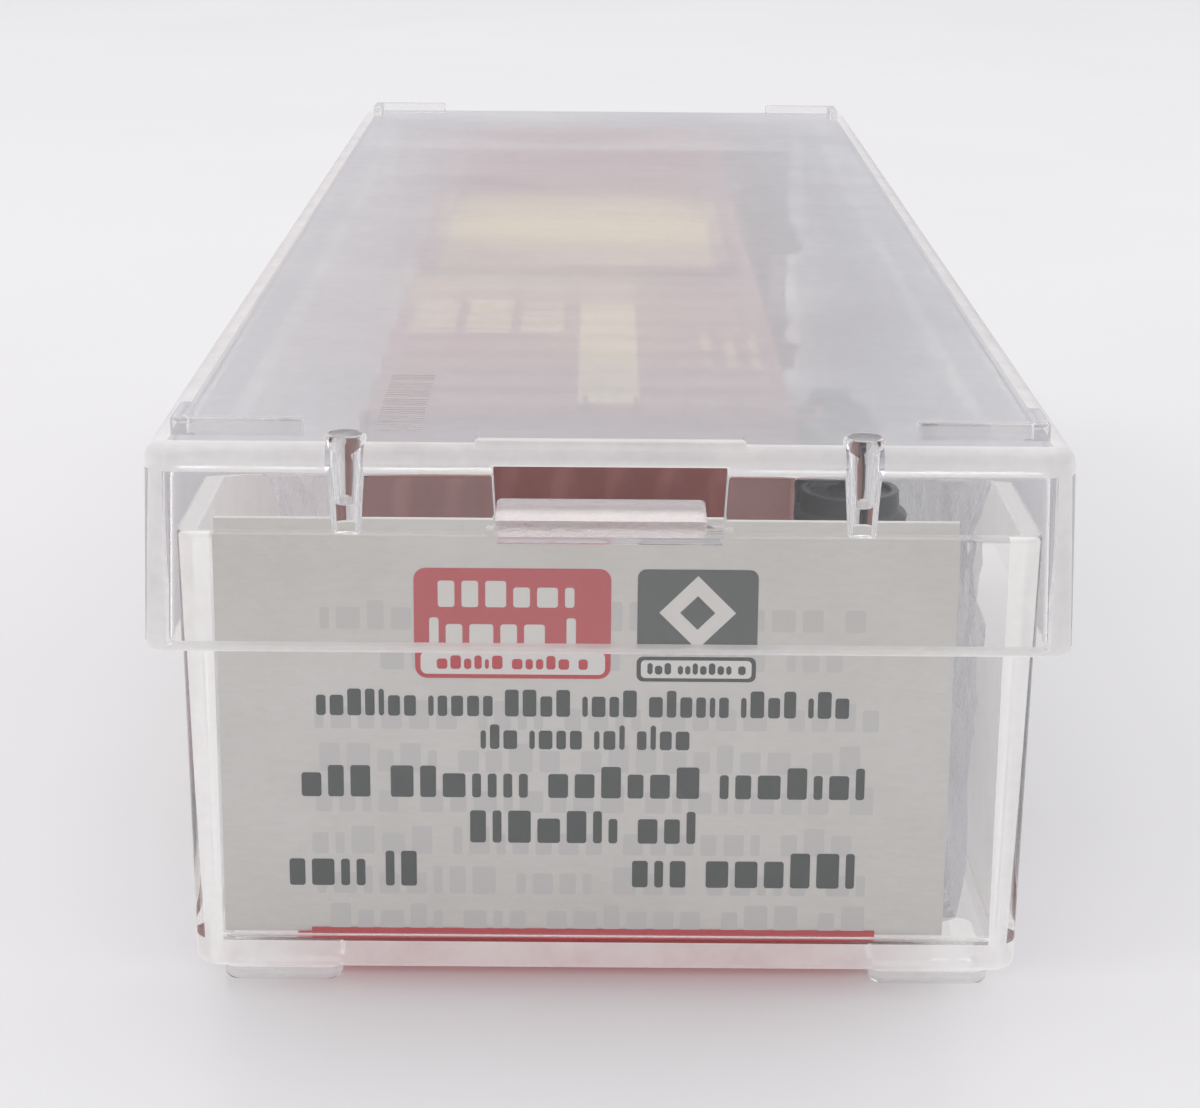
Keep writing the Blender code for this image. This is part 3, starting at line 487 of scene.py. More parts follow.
def lettered_paint(name, colour, shade, mark):
    """Satin paint with a plain stripe and rows of plain blocks on both sides of the car."""
    shader = Shader(name)
    clouds = shader.ranged(shader.grain(5.0, 3.0), 0.0, 1.0)
    ground = shader.blend_colours(clouds, shade, colour)
    rng = Random(50)
    marks = [(STRIPE_X, (-46.5, -20.5))]
    for row_x, height, first, last, widths, gap in (
        (-11.4, 2.6, -29.5, -21.0, (1.6, 2.2), 0.4), (-8.2, 2.6, -29.5, -19.0, (1.6, 2.2), 0.4),
        (-5.0, 2.4, -29.5, -20.0, (1.6, 2.2), 0.4), (5.2, 0.55, -38.0, -29.0, (0.5, 0.9, 1.4), 0.35),
        (6.5, 0.55, -38.0, -29.0, (0.5, 0.9, 1.4), 0.35),
        (7.8, 0.55, -38.0, -29.0, (0.5, 0.9, 1.4), 0.35),
    ):
        y = first
        while y < last:
            width = rng.choice(widths)
            marks.append(((row_x, row_x + height), (y, y + width)))
            y += width + gap
    sides = []
    for turn, heights in ((1, (23.05, 26.0)), (-1, (2.0, 4.95))):
        patches = []
        for x, span in marks:
            y = sorted(CAR_Y + turn * end for end in span)
            patches.append(shader.inside(X=x, Y=y))
        painted = shader.combined("MAXIMUM", *patches)
        sides.append(shader.combined("MULTIPLY", painted, shader.inside(Z=heights)))
    worn = shader.ranged(shader.grain(0.35, 4.0, 0.7), 0.35, 1.0, 0.3, 0.5)
    cover = shader.combined("MULTIPLY", shader.combined("MAXIMUM", *sides), worn)
    tone = shader.blend_colours(cover, ground, mark)
    shader.bump(shader.grain(0.1, 3.0), 0.006)
    rough = shader.ranged(shader.grain(1.3, 4.0), 0.34, 0.54)
    shader.set(Base_Color=tone, Roughness=rough)
    return shader.material


def metal(name, colour, shade, roughness):
    """Plain metal with drawn streaks."""
    shader = Shader(name)
    streaks = shader.grain(0.3, 4.0, stretch=(1, 8, 1))
    tone = shader.blend_colours(shader.ranged(streaks, 0.0, 1.0), shade, colour)
    rough = shader.ranged(streaks, roughness - 0.1, roughness + 0.1)
    shader.bump(streaks, 0.004)
    shader.set(Base_Color=tone, Roughness=rough, Metallic=1.0)
    return shader.material


def clear_film(name):
    """Thin clear film: see-through face on, milky and glossy at a slant."""
    shader = Shader(name)
    creases = shader.grain(2.4, 4.0, 0.6)
    normal = shader.bump(shader.ranged(creases, 0.0, 1.0), 0.35)
    shine = {"Color": (0.95, 0.95, 0.97), "Roughness": 0.12, "Normal": normal}
    gloss = shader.node("ShaderNodeBsdfGlossy", shine).outputs["BSDF"]
    sheen = shader.mixed(0.6, gloss, shader.scatter("Translucent", (0.88, 0.88, 0.91)))
    through = shader.scatter("Transparent", (0.965, 0.965, 0.975))
    amount = shader.ranged(shader.slant(normal), 0.04, 0.6, 0.3, 0.95)
    shader.show(shader.mixed(amount, through, sheen))
    return shader.material


def both_sides(near, far, **spans):
    """A box on the right and its mirror image on the left, as spans for Shader.inside."""
    return [{"X": (-far, -near), **spans}, {"X": (near, far), **spans}]


POST_ROOM = 0.85  # left clear on each side of a post
# Bands of the case's edges that get painted light: a white coat standing for light led through the walls.
TOP_EDGE = {"Z": (25.3, 28.0)}
FLOOR_EDGE = {"Z": (0.7, 2.2)}
POST_SPANS = (
    (-22.0, POST_X[0] - POST_ROOM),
    (POST_X[0] + POST_ROOM, POST_X[1] - POST_ROOM),
    (POST_X[1] + POST_ROOM, 22.0),
)
CLEAR_TINT = (0.965, 0.962, 0.955)
CLEAR = clear_plastic(
    "clear_polystyrene",
    CLEAR_TINT,
    ((0.65, 0.65, 0.69), 0.75, 0.3, 0.9),
    [{"X": span, "Y": (-64.0, -61.75), **TOP_EDGE} for span in POST_SPANS]
    + [{"Z": (LID_SKIRT_Z - 0.2, LID_SKIRT_Z + 0.3)}, {"Y": (61.75, 64.0), **TOP_EDGE}]
    + both_sides(19.75, 22.0, **TOP_EDGE)
    + both_sides(19.9, 22.0, Y=(-64.0, -62.2)),
    0.0,
)
CLEAR_BASE = clear_plastic(
    "clear_polystyrene_base",
    CLEAR_TINT,
    ((0.86, 0.85, 0.85), 0.65, 0.68, 0.9),
    [{"Y": (-62.0, -60.3), **FLOOR_EDGE}, {"Y": (60.3, 62.0), **FLOOR_EDGE}]
    + both_sides(18.6, 20.0, **FLOOR_EDGE)
    + both_sides(18.0, 20.0, Y=(-62.0, -60.9)),
    # Painted light: the base's edge bands also glow this much.
    0.13,
)
FROSTED = frosted_plastic("frosted_polystyrene")
FILM = clear_film("clear_film")
CARD = paper("grey_card", (0.74, 0.73, 0.71), (0.68, 0.668, 0.645))
RED_INK = ink("red_ink", (0.56, 0.035, 0.05), (0.58, 0.1, 0.11))
RED_UNDERSIDE = ink("red_ink_under_card", (0.5, 0.045, 0.05), (0.52, 0.09, 0.1), 0.4)
DARK_INK = ink("dark_ink", (0.05, 0.062, 0.06), (0.12, 0.13, 0.125))
WHITE_INK = ink("bare_card", (0.8, 0.79, 0.77), (0.75, 0.74, 0.72))
GHOST_INK = ink("ink_seen_through_card", (0.625, 0.61, 0.61), (0.665, 0.65, 0.65))
MAROONS = ((0.385, 0.18, 0.17), (0.32, 0.148, 0.14))
MAROON = satin_paint("maroon_paint", *MAROONS)
LETTERED = lettered_paint("lettered_maroon_paint", *MAROONS, (0.76, 0.65, 0.36))
YELLOW = satin_paint("yellow_paint", (0.74, 0.58, 0.28), (0.66, 0.51, 0.24))
SLATE = satin_paint("slate_plastic", (0.07, 0.084, 0.094), (0.05, 0.06, 0.068), 0.5)
WHEEL = satin_paint("wheel_plastic", (0.046, 0.055, 0.062), (0.034, 0.04, 0.046), 0.4)
STEEL = metal("blackened_steel", (0.34, 0.34, 0.36), (0.22, 0.22, 0.235), 0.38)
BRONZE = metal("bronze_wire", (0.62, 0.43, 0.2), (0.48, 0.32, 0.14), 0.3)


# ---- display case --------------------------------------------------------------------------------
def lid_half_at(z, axis):
    """The lid's outer half size at a height, across (axis 0) or along (axis 1)."""
    share = (z - LID_SKIRT_Z) / (LID_TOP_Z - LID_SKIRT_Z)
    return interpolate(LID_HALF_SKIRT[axis], LID_HALF_TOP[axis], share)


def base_half_at(z, axis):
    """The base's outer half size at a height."""
    share = (z - FOOT_HEIGHT) / (RIM_Z - FOOT_HEIGHT)
    return interpolate(BASE_HALF_LOW[axis], BASE_HALF_RIM[axis], share)


def arc(inset, z, inward, upward, radius, steps, reverse=False):
    """Points (inset, height) on a quarter circle from (inset, z), for the section of a wall."""
    points = []
    for i in range(steps + 1):
        angle = math.radians(90 * i / steps)
        shift = radius * (1 - math.cos(angle))
        points.append((inset + inward * shift, z + upward * radius * math.sin(angle)))
    return points[::-1] if reverse else points


def shell(name, half_at, corner, section):
    """A drafted box without its details, skinned along its wall's section."""
    rings = []
    for inset, z in section:
        radius = max(corner - inset, 0.3)
        rings.append(rounded_ring(half_at(z, 0) - inset, half_at(z, 1) - inset, radius, z))
    bm = bmesh.new()
    add_loft(bm, rings)
    return object_from(bm, name)


def lid_shell():
    """The lid without its details: plate, skirt, rounded rim and rounded top edge."""
    rim, room = 0.2, 0.5
    ceiling, skirt = LID_TOP_Z - LID_PLATE - room, LID_SKIRT_Z + rim
    section = arc(LID_WALL, ceiling, 1, 1, room, 4, True) + arc(LID_WALL, skirt, -1, -1, rim, 3)
    section += arc(0.0, skirt, 1, -1, rim, 3, True) + arc(0.0, LID_TOP_Z - LID_EDGE, 1, 1, LID_EDGE, 6)
    return shell("lid_shell", lid_half_at, LID_CORNER, section)


def add_ridge(bm, side, end):
    """The L of one stacking ridge, with a rounded crest."""
    outer_x = side * (LID_HALF_TOP[0] - RIDGE_INSET[0])
    outer_y = end * (LID_HALF_TOP[1] - RIDGE_INSET[1])
    inner_x = outer_x - side * RIDGE_WIDTH
    inner_y = outer_y - end * RIDGE_WIDTH
    far_x = outer_x - side * RIDGE_LEGS[0]
    far_y = outer_y - end * RIDGE_LEGS[1]
    corner = [
        (outer_x, outer_y), (far_x, outer_y), (far_x, inner_y), (inner_x, inner_y), (inner_x, far_y),
        (outer_x, far_y),
    ]
    low, high = LID_TOP_Z - 0.4, LID_TOP_Z + RIDGE_RISE
    rings = [[(x, y, z) for x, y in corner] for z in (low, high)]
    add_loft(bm, rings)


def make_lid():
    """Lid with latch window, cup posts, stacking ridges, thumb pad and hinge holes."""
    lid = lid_shell()
    wide = LID_HALF_SKIRT[0] + 1.0
    behind = LID_HALF_SKIRT[1] + 1.0
    rear_inner = lid_half_at(REAR_SKIRT_Z, 1) - LID_WALL - 0.3
    rear_cut = block("rear_cut", (-wide, rear_inner, LID_SKIRT_Z - 1), (wide, behind, REAR_SKIRT_Z))
    front = -lid_half_at(WINDOW_Z[0], 1)
    rings = []
    for z in WINDOW_Z:
        half = WINDOW_HALF - (WINDOW_DRAFT if z == WINDOW_Z[0] else 0.0)
        rings.append([(x, y, z) for x, y in (
            (-half, front - 1.0), (half, front - 1.0), (half, front + LID_WALL + 0.6),
            (-half, front + LID_WALL + 0.6),
        )])
    bm = bmesh.new()
    add_loft(bm, rings)
    window = object_from(bm, "window_cut")
    combine(lid, "DIFFERENCE", rear_cut, window)

    pad_front = -LID_HALF_TOP[1] + LID_EDGE * 0.4
    pad = block(
        "thumb_pad",
        (-PAD_HALF, pad_front, LID_TOP_Z - 0.5),
        (PAD_HALF, pad_front + PAD_DEPTH, LID_TOP_Z + PAD_RISE),
        rounding=0.18,
        segments=3,
    )
    bm = bmesh.new()
    for side in (-1, 1):
        for end in (-1, 1):
            add_ridge(bm, side, end)
    ridges = soften(object_from(bm, "stacking_ridges"), 0.18, 3)
    post_y = -LID_HALF_TOP[1] + POST_INSET
    bm = bmesh.new()
    for x in POST_X:
        profile = [
            (POST_FOOT_R - 0.15, POST_FOOT_Z), (POST_FOOT_R - 0.04, POST_FOOT_Z + 0.05),
            (POST_FOOT_R, POST_FOOT_Z + 0.18), (POST_TOP_R, POST_TOP_Z - 0.2),
            (POST_TOP_R - 0.05, POST_TOP_Z - 0.05), (POST_TOP_R - 0.14, POST_TOP_Z),
        ]
        add_turned(bm, profile, 32, at=(x, post_y, 0))
    posts = object_from(bm, "cup_posts")
    bm = bmesh.new()
    for y in spaced(-59.4, -48.6, 7):
        for step in (0.0, 0.42, 0.84):
            add_block(
                bm,
                (RAISED_BARS_X[0], y + step - 0.11, LID_TOP_Z - 0.2),
                (RAISED_BARS_X[1], y + step + 0.11, LID_TOP_Z + 0.05),
                0.02,
            )
    bars = object_from(bm, "raised_bars")
    combine(lid, "UNION", pad, ridges, posts, bars)
    bm = bmesh.new()
    for x in POST_X:
        bore_foot = POST_TOP_Z - BORE_DEPTH
        profile = [
            (BORE_FOOT_R - 0.2, bore_foot - 0.1), (BORE_FOOT_R - 0.05, bore_foot - 0.04),
            (BORE_FOOT_R, bore_foot + 0.1), (BORE_TOP_R, POST_TOP_Z - 0.05),
            (BORE_TOP_R + 0.1, POST_TOP_Z + 0.3),
        ]
        add_turned(bm, profile, 28, at=(x, post_y, 0))
    bores = object_from(bm, "cup_bores")
    bm = bmesh.new()
    for side in (-1, 1):
        low, high = sorted((side * (BASE_HALF_LOW[0] - 0.5), side * (LID_HALF_SKIRT[0] + 0.5)))
        profile = [(HINGE_HOLE_R, low), (HINGE_HOLE_R, high)]
        add_turned(bm, profile, 32, axis="X", at=(0, HINGE_Y, HINGE_Z))
    holes = object_from(bm, "hinge_holes")
    combine(lid, "DIFFERENCE", bores, holes)
    round_within(
        lid,
        (-WINDOW_HALF - 0.05, front - 0.5, WINDOW_Z[0] - 0.05),
        (WINDOW_HALF + 0.05, front + LID_WALL + 0.7, WINDOW_Z[1] + 0.05),
        0.15,
    )
    lid.name = "clear_lid"
    even_normals(lid)
    return add_piece(lid, "lid", "clear_polystyrene", CLEAR, "case_lid")


def base_shell():
    """The base without its details: outer wall, rounded rim, inner wall and floor."""
    rim, foot, room = 0.18, 0.35, 0.5
    top, floor = RIM_Z - rim, FOOT_HEIGHT + BASE_FLOOR + room
    section = arc(0.0, FOOT_HEIGHT + foot, 1, -1, foot, 4, True) + arc(0.0, top, 1, 1, rim, 3)
    section += arc(BASE_WALL, top, -1, 1, rim, 3, True) + arc(BASE_WALL, floor, 1, -1, room, 4)
    return shell("base_shell", base_half_at, BASE_CORNER, section)


def make_base():
    """Tray with feet, a raised stretch of rim under the latch and two hinge studs."""
    base = base_shell()
    bm = bmesh.new()
    foot_x = BASE_HALF_LOW[0] - FOOT_INSET[0] - FOOT_SIZE / 2
    foot_y = BASE_HALF_LOW[1] - FOOT_INSET[1] - FOOT_SIZE / 2
    half = FOOT_SIZE / 2
    for side in (-1, 1):
        for end in (-1, 1):
            centre = (side * foot_x, end * foot_y)
            rings = []
            for inset, z in ((0.28, 0.0), (0.1, 0.06), (0.02, 0.22), (0.0, 0.4), (0.0, FOOT_HEIGHT + 0.3)):
                rings.append(rounded_ring(half - inset, half - inset, 0.7, z, 4, centre))
            add_loft(bm, rings)
    feet = object_from(bm, "feet")
    front = -BASE_HALF_RIM[1]
    raised = block(
        "raised_rim",
        (-RIM_RISE_HALF, front + 0.04, RIM_Z - 0.5),
        (RIM_RISE_HALF, front + BASE_WALL - 0.04, RIM_Z + RIM_RISE),
        rounding=0.15,
        segments=3,
    )
    bm = bmesh.new()
    root = BASE_HALF_RIM[0] - 0.5
    tip = LID_HALF_TOP[0] - 0.1
    for side in (-1, 1):
        profile = [
            (HINGE_PIN_R, side * root), (HINGE_PIN_R, side * (tip - 0.15)),
            (HINGE_PIN_R - 0.04, side * (tip - 0.04)), (HINGE_PIN_R - 0.15, side * tip),
        ]
        add_turned(bm, profile, 32, axis="X", at=(0, HINGE_Y, HINGE_Z))
    studs = object_from(bm, "hinge_studs")
    combine(base, "UNION", feet, raised, studs)
    base.name = "clear_base"
    even_normals(base)
    return add_piece(base, "case", "clear_polystyrene", CLEAR_BASE, "case_base")


# ---- printed card --------------------------------------------------------------------------------
INK_RISE = 0.012  # how far print stands off the card
GHOST_RISE = 0.004
CARD_THICK = 0.25
EMBLEM = (4.05, 18.4)
FRONT = ("front", CARD_LOW.y)
BACK = ("back", CARD_LOW.y + CARD_THICK)
UNDER = ("down", CARD_LOW.z)


def add_print(bm, low, high, face, rise=INK_RISE, radius=0.0, steps=3):
    """A plain printed patch with rounded corners, on a face of the card.

    low and high are (x, z) on the front and the back, and (x, y) under the card.
    """
    facing, surface = face
    half_u, half_v = (high[0] - low[0]) / 2, (high[1] - low[1]) / 2
    radius = min(radius, half_u * 0.98, half_v * 0.98)
    centre = ((low[0] + high[0]) / 2, (low[1] + high[1]) / 2)
    sunk = 0.03
    outward = 1.0 if facing == "back" else -1.0
    rings = []
    for depth in (-sunk, rise):
        place = surface + outward * depth
        flat = rounded_ring(half_u, half_v, max(radius, 0.01), 0.0, steps, centre)
        if facing == "down":
            rings.append([(u, v, place) for u, v, _ in flat])
        else:
            rings.append([(u, place, v) for u, v, _ in flat])
    add_loft(bm, rings)


def add_greeked_row(bm, rng, left, right, low, high, unit, face=FRONT, rise=INK_RISE):
    """Small plain blocks in groups, which stand for one line of print."""
    x = left
    while x < right - unit:
        for _ in range(rng.randint(3, 8)):
            width = unit * rng.choice((0.45, 0.8, 1.0, 1.15))
            if x + width > right:
                break
            top = interpolate(low, high, rng.choice((0.76, 0.76, 1.0)))
            add_print(bm, (x, low), (x + width, top), face, rise, 0.09, 1)
            x += width + unit * 0.34
        x += unit * 0.7


def add_diamond(bm, half, rise):
    """A diamond in the middle of the dark block."""
    x, z = EMBLEM
    rings = []
    for y in (CARD_LOW.y + 0.03, CARD_LOW.y - rise):
        rings.append([(x - half, y, z), (x, y, z - half), (x + half, y, z), (x, y, z + half)])
    add_loft(bm, rings)


def print_piece(name, bm, ink_material):
    """Printed patches as one piece on the card."""
    return add_piece(object_from(bm, name), "case", "printed_card", ink_material)


def make_label():
    """The card's print: two emblem blocks, lines of plain marks and the instructions on the back."""
    rng = Random(160)
    above, on_top = INK_RISE * 1.6, INK_RISE * 2.2

    red = bmesh.new()
    add_print(red, (-8.9, 15.0), (0.1, 20.45), FRONT, INK_RISE, 0.55, 6)
    add_print(red, (-13.9, CARD_LOW.z + 0.03), (12.7, CARD_LOW.z + 0.5), FRONT)
    print_piece("red_print", red, RED_INK)

    below = bmesh.new()
    add_print(below, (-14.6, CARD_LOW.y + 0.1), (12.6, CARD_HIGH.y - 0.4), UNDER)
    print_piece("underside_print", below, RED_UNDERSIDE)

    dark = bmesh.new()
    add_print(dark, (1.3, 16.35), (6.8, 20.45), FRONT, INK_RISE, 0.4, 5)
    add_print(dark, (1.3, 14.9), (6.8, 16.1), FRONT, INK_RISE, 0.3, 5)
    for left, right, low, high, unit in (
        (-14.25, 12.15, 9.15, 10.7, 0.92), (-6.4, 4.2, 6.9, 8.5, 0.92), (-14.9, -8.2, 4.7, 6.45, 0.92),
        (1.2, 12.7, 4.7, 6.45, 0.92), (-13.5, 11.4, 13.15, 14.45, 0.55),
        (-5.9, 3.9, 11.55, 12.75, 0.55),
    ):
        add_greeked_row(dark, rng, left, right, low, high, unit)
    print_piece("dark_print", dark, DARK_INK)

    pale = bmesh.new()
    add_print(pale, (-8.65, 15.2), (-0.15, 16.3), FRONT, above, 0.3, 5)
    add_print(pale, (1.5, 15.07), (6.6, 15.93), FRONT, above, 0.2, 5)
    add_greeked_row(pale, rng, -7.8, -0.9, 18.6, 19.85, 0.95, FRONT, above)
    add_greeked_row(pale, rng, -8.2, -0.9, 16.8, 18.1, 0.95, FRONT, above)
    add_diamond(pale, 1.75, above)
    print_piece("bare_print", pale, WHITE_INK)

    over = bmesh.new()
    add_diamond(over, 0.8, on_top)
    add_greeked_row(over, rng, 1.8, 6.4, 15.25, 15.8, 0.3, FRONT, on_top)
    print_piece("emblem_print", over, DARK_INK)

    strip = bmesh.new()
    add_greeked_row(strip, rng, -7.9, -0.9, 15.45, 16.1, 0.42, FRONT, on_top)
    print_piece("red_strip_print", strip, RED_INK)

    ghost, instructions = bmesh.new(), bmesh.new()
    rows = (
        (18.2, -13.2, 12.6), (16.1, -10.5, 11.0), (13.2, -13.6, 13.0), (11.1, -13.4, 12.2),
        (9.1, -13.6, 13.0), (7.0, -13.8, 12.8), (5.0, -13.6, 13.0), (3.1, -13.0, 12.4),
    )
    for z, left, right in rows:
        state = rng.getstate()
        add_greeked_row(ghost, rng, left, right, z - 0.7, z + 0.7, 0.95, FRONT, GHOST_RISE)
        rng.setstate(state)
        add_greeked_row(instructions, rng, left, right, z - 0.7, z + 0.7, 0.95, BACK)
    print_piece("show_through", ghost, GHOST_INK)
    print_piece("instructions_print", instructions, DARK_INK)


# ---- car body ------------------------------------------------------------------------------------
BODY_HALF, BODY_END = 9.2, 48.7
EAVE, RIDGE, BODY_WALL = 27.4, 28.45, 0.7
RIB_FIRST, RIB_LAST, RIBS_PER_HALF = 11.3, 47.7, 9
RIB_RISE = 0.35
DOORWAY_HALF, DOORWAY_Z = 9.3, (8.4, 25.9)
DOOR_HALF, DOOR_Z, DOOR_X = 9.9, (7.95, 26.35), (9.62, 10.0)
DOOR_TRAVEL = 18.0
TRACK_OUT, TRACK_LIP, TRACK_GAP = 10.3, 0.25, 0.06
COUPLER_NOTCH = (4.4, 6.7)
SIDE_SHEET = 9.27  # outer face of the sheathing between the posts
END_SHEET_HALF, END_SHEET_LOW, END_SHEET_HEIGHT = 8.9, 6.95, 19.6
ROOF_SHEETS = 14
ROOF_PITCH = 2 * BODY_END / ROOF_SHEETS


def laid_down(bm, name):
    """A piece built in the car's frame, as an object in the case."""
    bm.transform(CAR)
    return object_from(bm, name)


def add_relief(bm, origin, along, across, outward, cells, height, thickness):
    """A pressed sheet: a grid of points that height(u, v) raises, with a flat back.

    along and across span the sheet from its origin; u and v are distances on it in millimetres.
    """
    origin, along, across, outward = Vector(origin), Vector(along), Vector(across), Vector(outward)
    count_u, count_v = cells
    front, rear = [], []
    for i in range(count_u + 1):
        front.append([])
        rear.append([])
        for j in range(count_v + 1):
            share_u, share_v = i / count_u, j / count_v
            place = origin + along * share_u + across * share_v
            rise = height(share_u * along.length, share_v * across.length)
            front[i].append(bm.verts.new(place + outward * rise))
            on_border = i in (0, count_u) or j in (0, count_v)
            rear[i].append(bm.verts.new(place - outward * thickness) if on_border else None)
    for i in range(count_u):
        for j in range(count_v):
            bm.faces.new((front[i][j], front[i + 1][j], front[i + 1][j + 1], front[i][j + 1]))
    border = border_steps(count_u, count_v)
    for (i, j), (k, m) in border:
        bm.faces.new((front[k][m], front[i][j], rear[i][j], rear[k][m]))
    bm.faces.new([rear[i][j] for (i, j), _ in border])


def add_rivet(bm, place, outward, radius=0.11, rise=0.07):
    """A low round rivet head."""
    outward = Vector(outward).normalized()
    side = outward.orthogonal().normalized()
    other = outward.cross(side)
    rings = []
    for r, lift in ((radius, -0.03), (radius * 0.85, rise * 0.6), (radius * 0.4, rise)):
        ring = []
        for i in range(6):
            angle = math.tau * i / 6
            offset = side * (r * math.cos(angle)) + other * (r * math.sin(angle))
            ring.append(Vector(place) + outward * lift + offset)
        rings.append(ring)
    add_loft(bm, rings)


def add_post(bm, side, y):
    """One hat-section side post, tapered off at both ends."""
    rings = []
    for z, share in ((6.7, 0.15), (7.3, 1.0), (26.2, 1.0), (26.8, 0.15)):
        out = SIDE_SHEET - 0.05 + (RIB_RISE - 0.02) * share
        root = SIDE_SHEET - 0.1
        ring = []
        for offset, x in ((-0.45, root), (-0.45, root + 0.12), (-0.3, out - 0.03), (-0.24, out),
                          (0.24, out), (0.3, out - 0.03), (0.45, root + 0.12), (0.45, root)):
            ring.append((side * x, y + offset, z))
        rings.append(ring)
    add_loft(bm, rings)


def add_rod(bm, points, radius, sides=8):
    """A round rod through a few points, mitred at its bends and capped at both ends."""
    points = [Vector(point) for point in points]
    rings = []
    reference = None
    for i, point in enumerate(points):
        before = (point - points[i - 1]).normalized() if i else None
        after = (points[i + 1] - point).normalized() if i < len(points) - 1 else None
        heading = ((before or after) + (after or before)).normalized()
        if reference is None:
            reference = heading.orthogonal().normalized()
        reference = (reference - heading * reference.dot(heading)).normalized()
        other = heading.cross(reference)
        stretch = 1.0
        if before and after:
            stretch = 1.0 / max(heading.dot(after), 0.5)
        ring = []
        for k in range(sides):
            angle = math.tau * k / sides
            offset = reference * math.cos(angle) + other * math.sin(angle)
            ring.append(point + offset * radius * stretch)
        rings.append(ring)
    add_loft(bm, rings)


def body_section(inset, low):
    """The body's outline across, from the sill round the roof."""
    half = BODY_HALF - inset
    eave = EAVE - inset * 0.4
    return [(half, low), (half, eave - 0.35), (half + 0.12, eave), (0.0, RIDGE - inset),
            (-half - 0.12, eave), (-half, eave - 0.35), (-half, low)]


def car_prism(name, outline, low, high):
    """An outline in x and z, drawn out along the car."""
    bm = bmesh.new()
    add_loft(bm, [[(x, y, z) for x, z in outline] for y in (low, high)])
    return laid_down(bm, name)


def car_block(name, low, high):
    """A box in the car's frame."""
    bm = bmesh.new()
    add_block(bm, low, high)
    return laid_down(bm, name)


def end_height(u, v):
    """Pressed end: tapering main ribs with short darts between them."""
    x, z = u - END_SHEET_HALF, v + END_SHEET_LOW
    rise = 0.0
    for z_rib in spaced(9.4, 25.2, 7):
        taper = 1.0 - smooth_step(abs(x), 5.6, 8.2)
        width = 0.55 + 0.35 * taper
        near = abs(z - z_rib) / width
        if near < 1.0:
            rise = max(rise, 0.34 * min(taper * 1.6, 1.0) * (0.5 + 0.5 * math.cos(math.pi * near)) ** 0.7)
    return rise


def roof_height(u, v):
    """Roof sheets: seam caps across and a raised panel between each pair."""
    place = (u % ROOF_PITCH) / ROOF_PITCH
    near = min(place, 1 - place) * ROOF_PITCH
    cap = 0.24 * (1 - smooth_step(near, 0.2, 0.34))
    panel = 0.1 * smooth_step(near, 0.9, 1.3) * smooth_step(v, 0.7, 1.1) * (1 - smooth_step(v, 8.2, 8.6))
    return cap + panel


def add_hardware(bm):
    """Grab irons, ladders, stirrups, cut levers and poling pockets at the four corners."""
    for toward in (-1, 1):
        face = toward * (BODY_END + 0.05)
        for side in (-1, 1):
            out = side * (SIDE_SHEET + 0.36)
            inner = side * (SIDE_SHEET - 0.02)
            near, far = toward * (BODY_END - 0.25), toward * (BODY_END - 2.3)
            for z in spaced(8.6, 16.4, 4):
                rung = [(inner, near, z), (out, near, z), (out, far, z), (inner, far, z)]
                add_rod(bm, rung, 0.1, 6)
            step_in, step_low = side * (BODY_HALF - 0.1), 4.55
            step = [
                (step_in, near, BODY_LOW + 0.3), (step_in, near, step_low), (step_in, far, step_low),
                (step_in, far, BODY_LOW + 0.3),
            ]
            add_rod(bm, step, 0.14, 6)
            pocket = (side * (BODY_HALF - 0.9), face - toward * 0.1, 6.1)
            add_block(bm, pocket, (side * (BODY_HALF - 0.2), face + toward * 0.14, 6.7), 0.08)
            lever = [(side * 8.4, 0.12), (side * 8.4, 0.42), (side * 4.9, 0.42), (side * 4.5, 0.55)]
            rod = [(x, face + toward * reach, 5.95) for x, reach in lever]
            add_rod(bm, rod, 0.09, 6)
        ladder_x = toward * 7.6
        for z in spaced(8.2, 25.4, 8):
            rung = [(-0.95, 0.0), (-0.95, 0.33), (0.95, 0.33), (0.95, 0.0)]
            add_rod(bm, [(ladder_x + x, face + toward * reach, z) for x, reach in rung], 0.09, 6)
        add_block(bm, (-4.2, face, 6.75), (4.2, face + toward * 0.3, 6.95), 0.06)


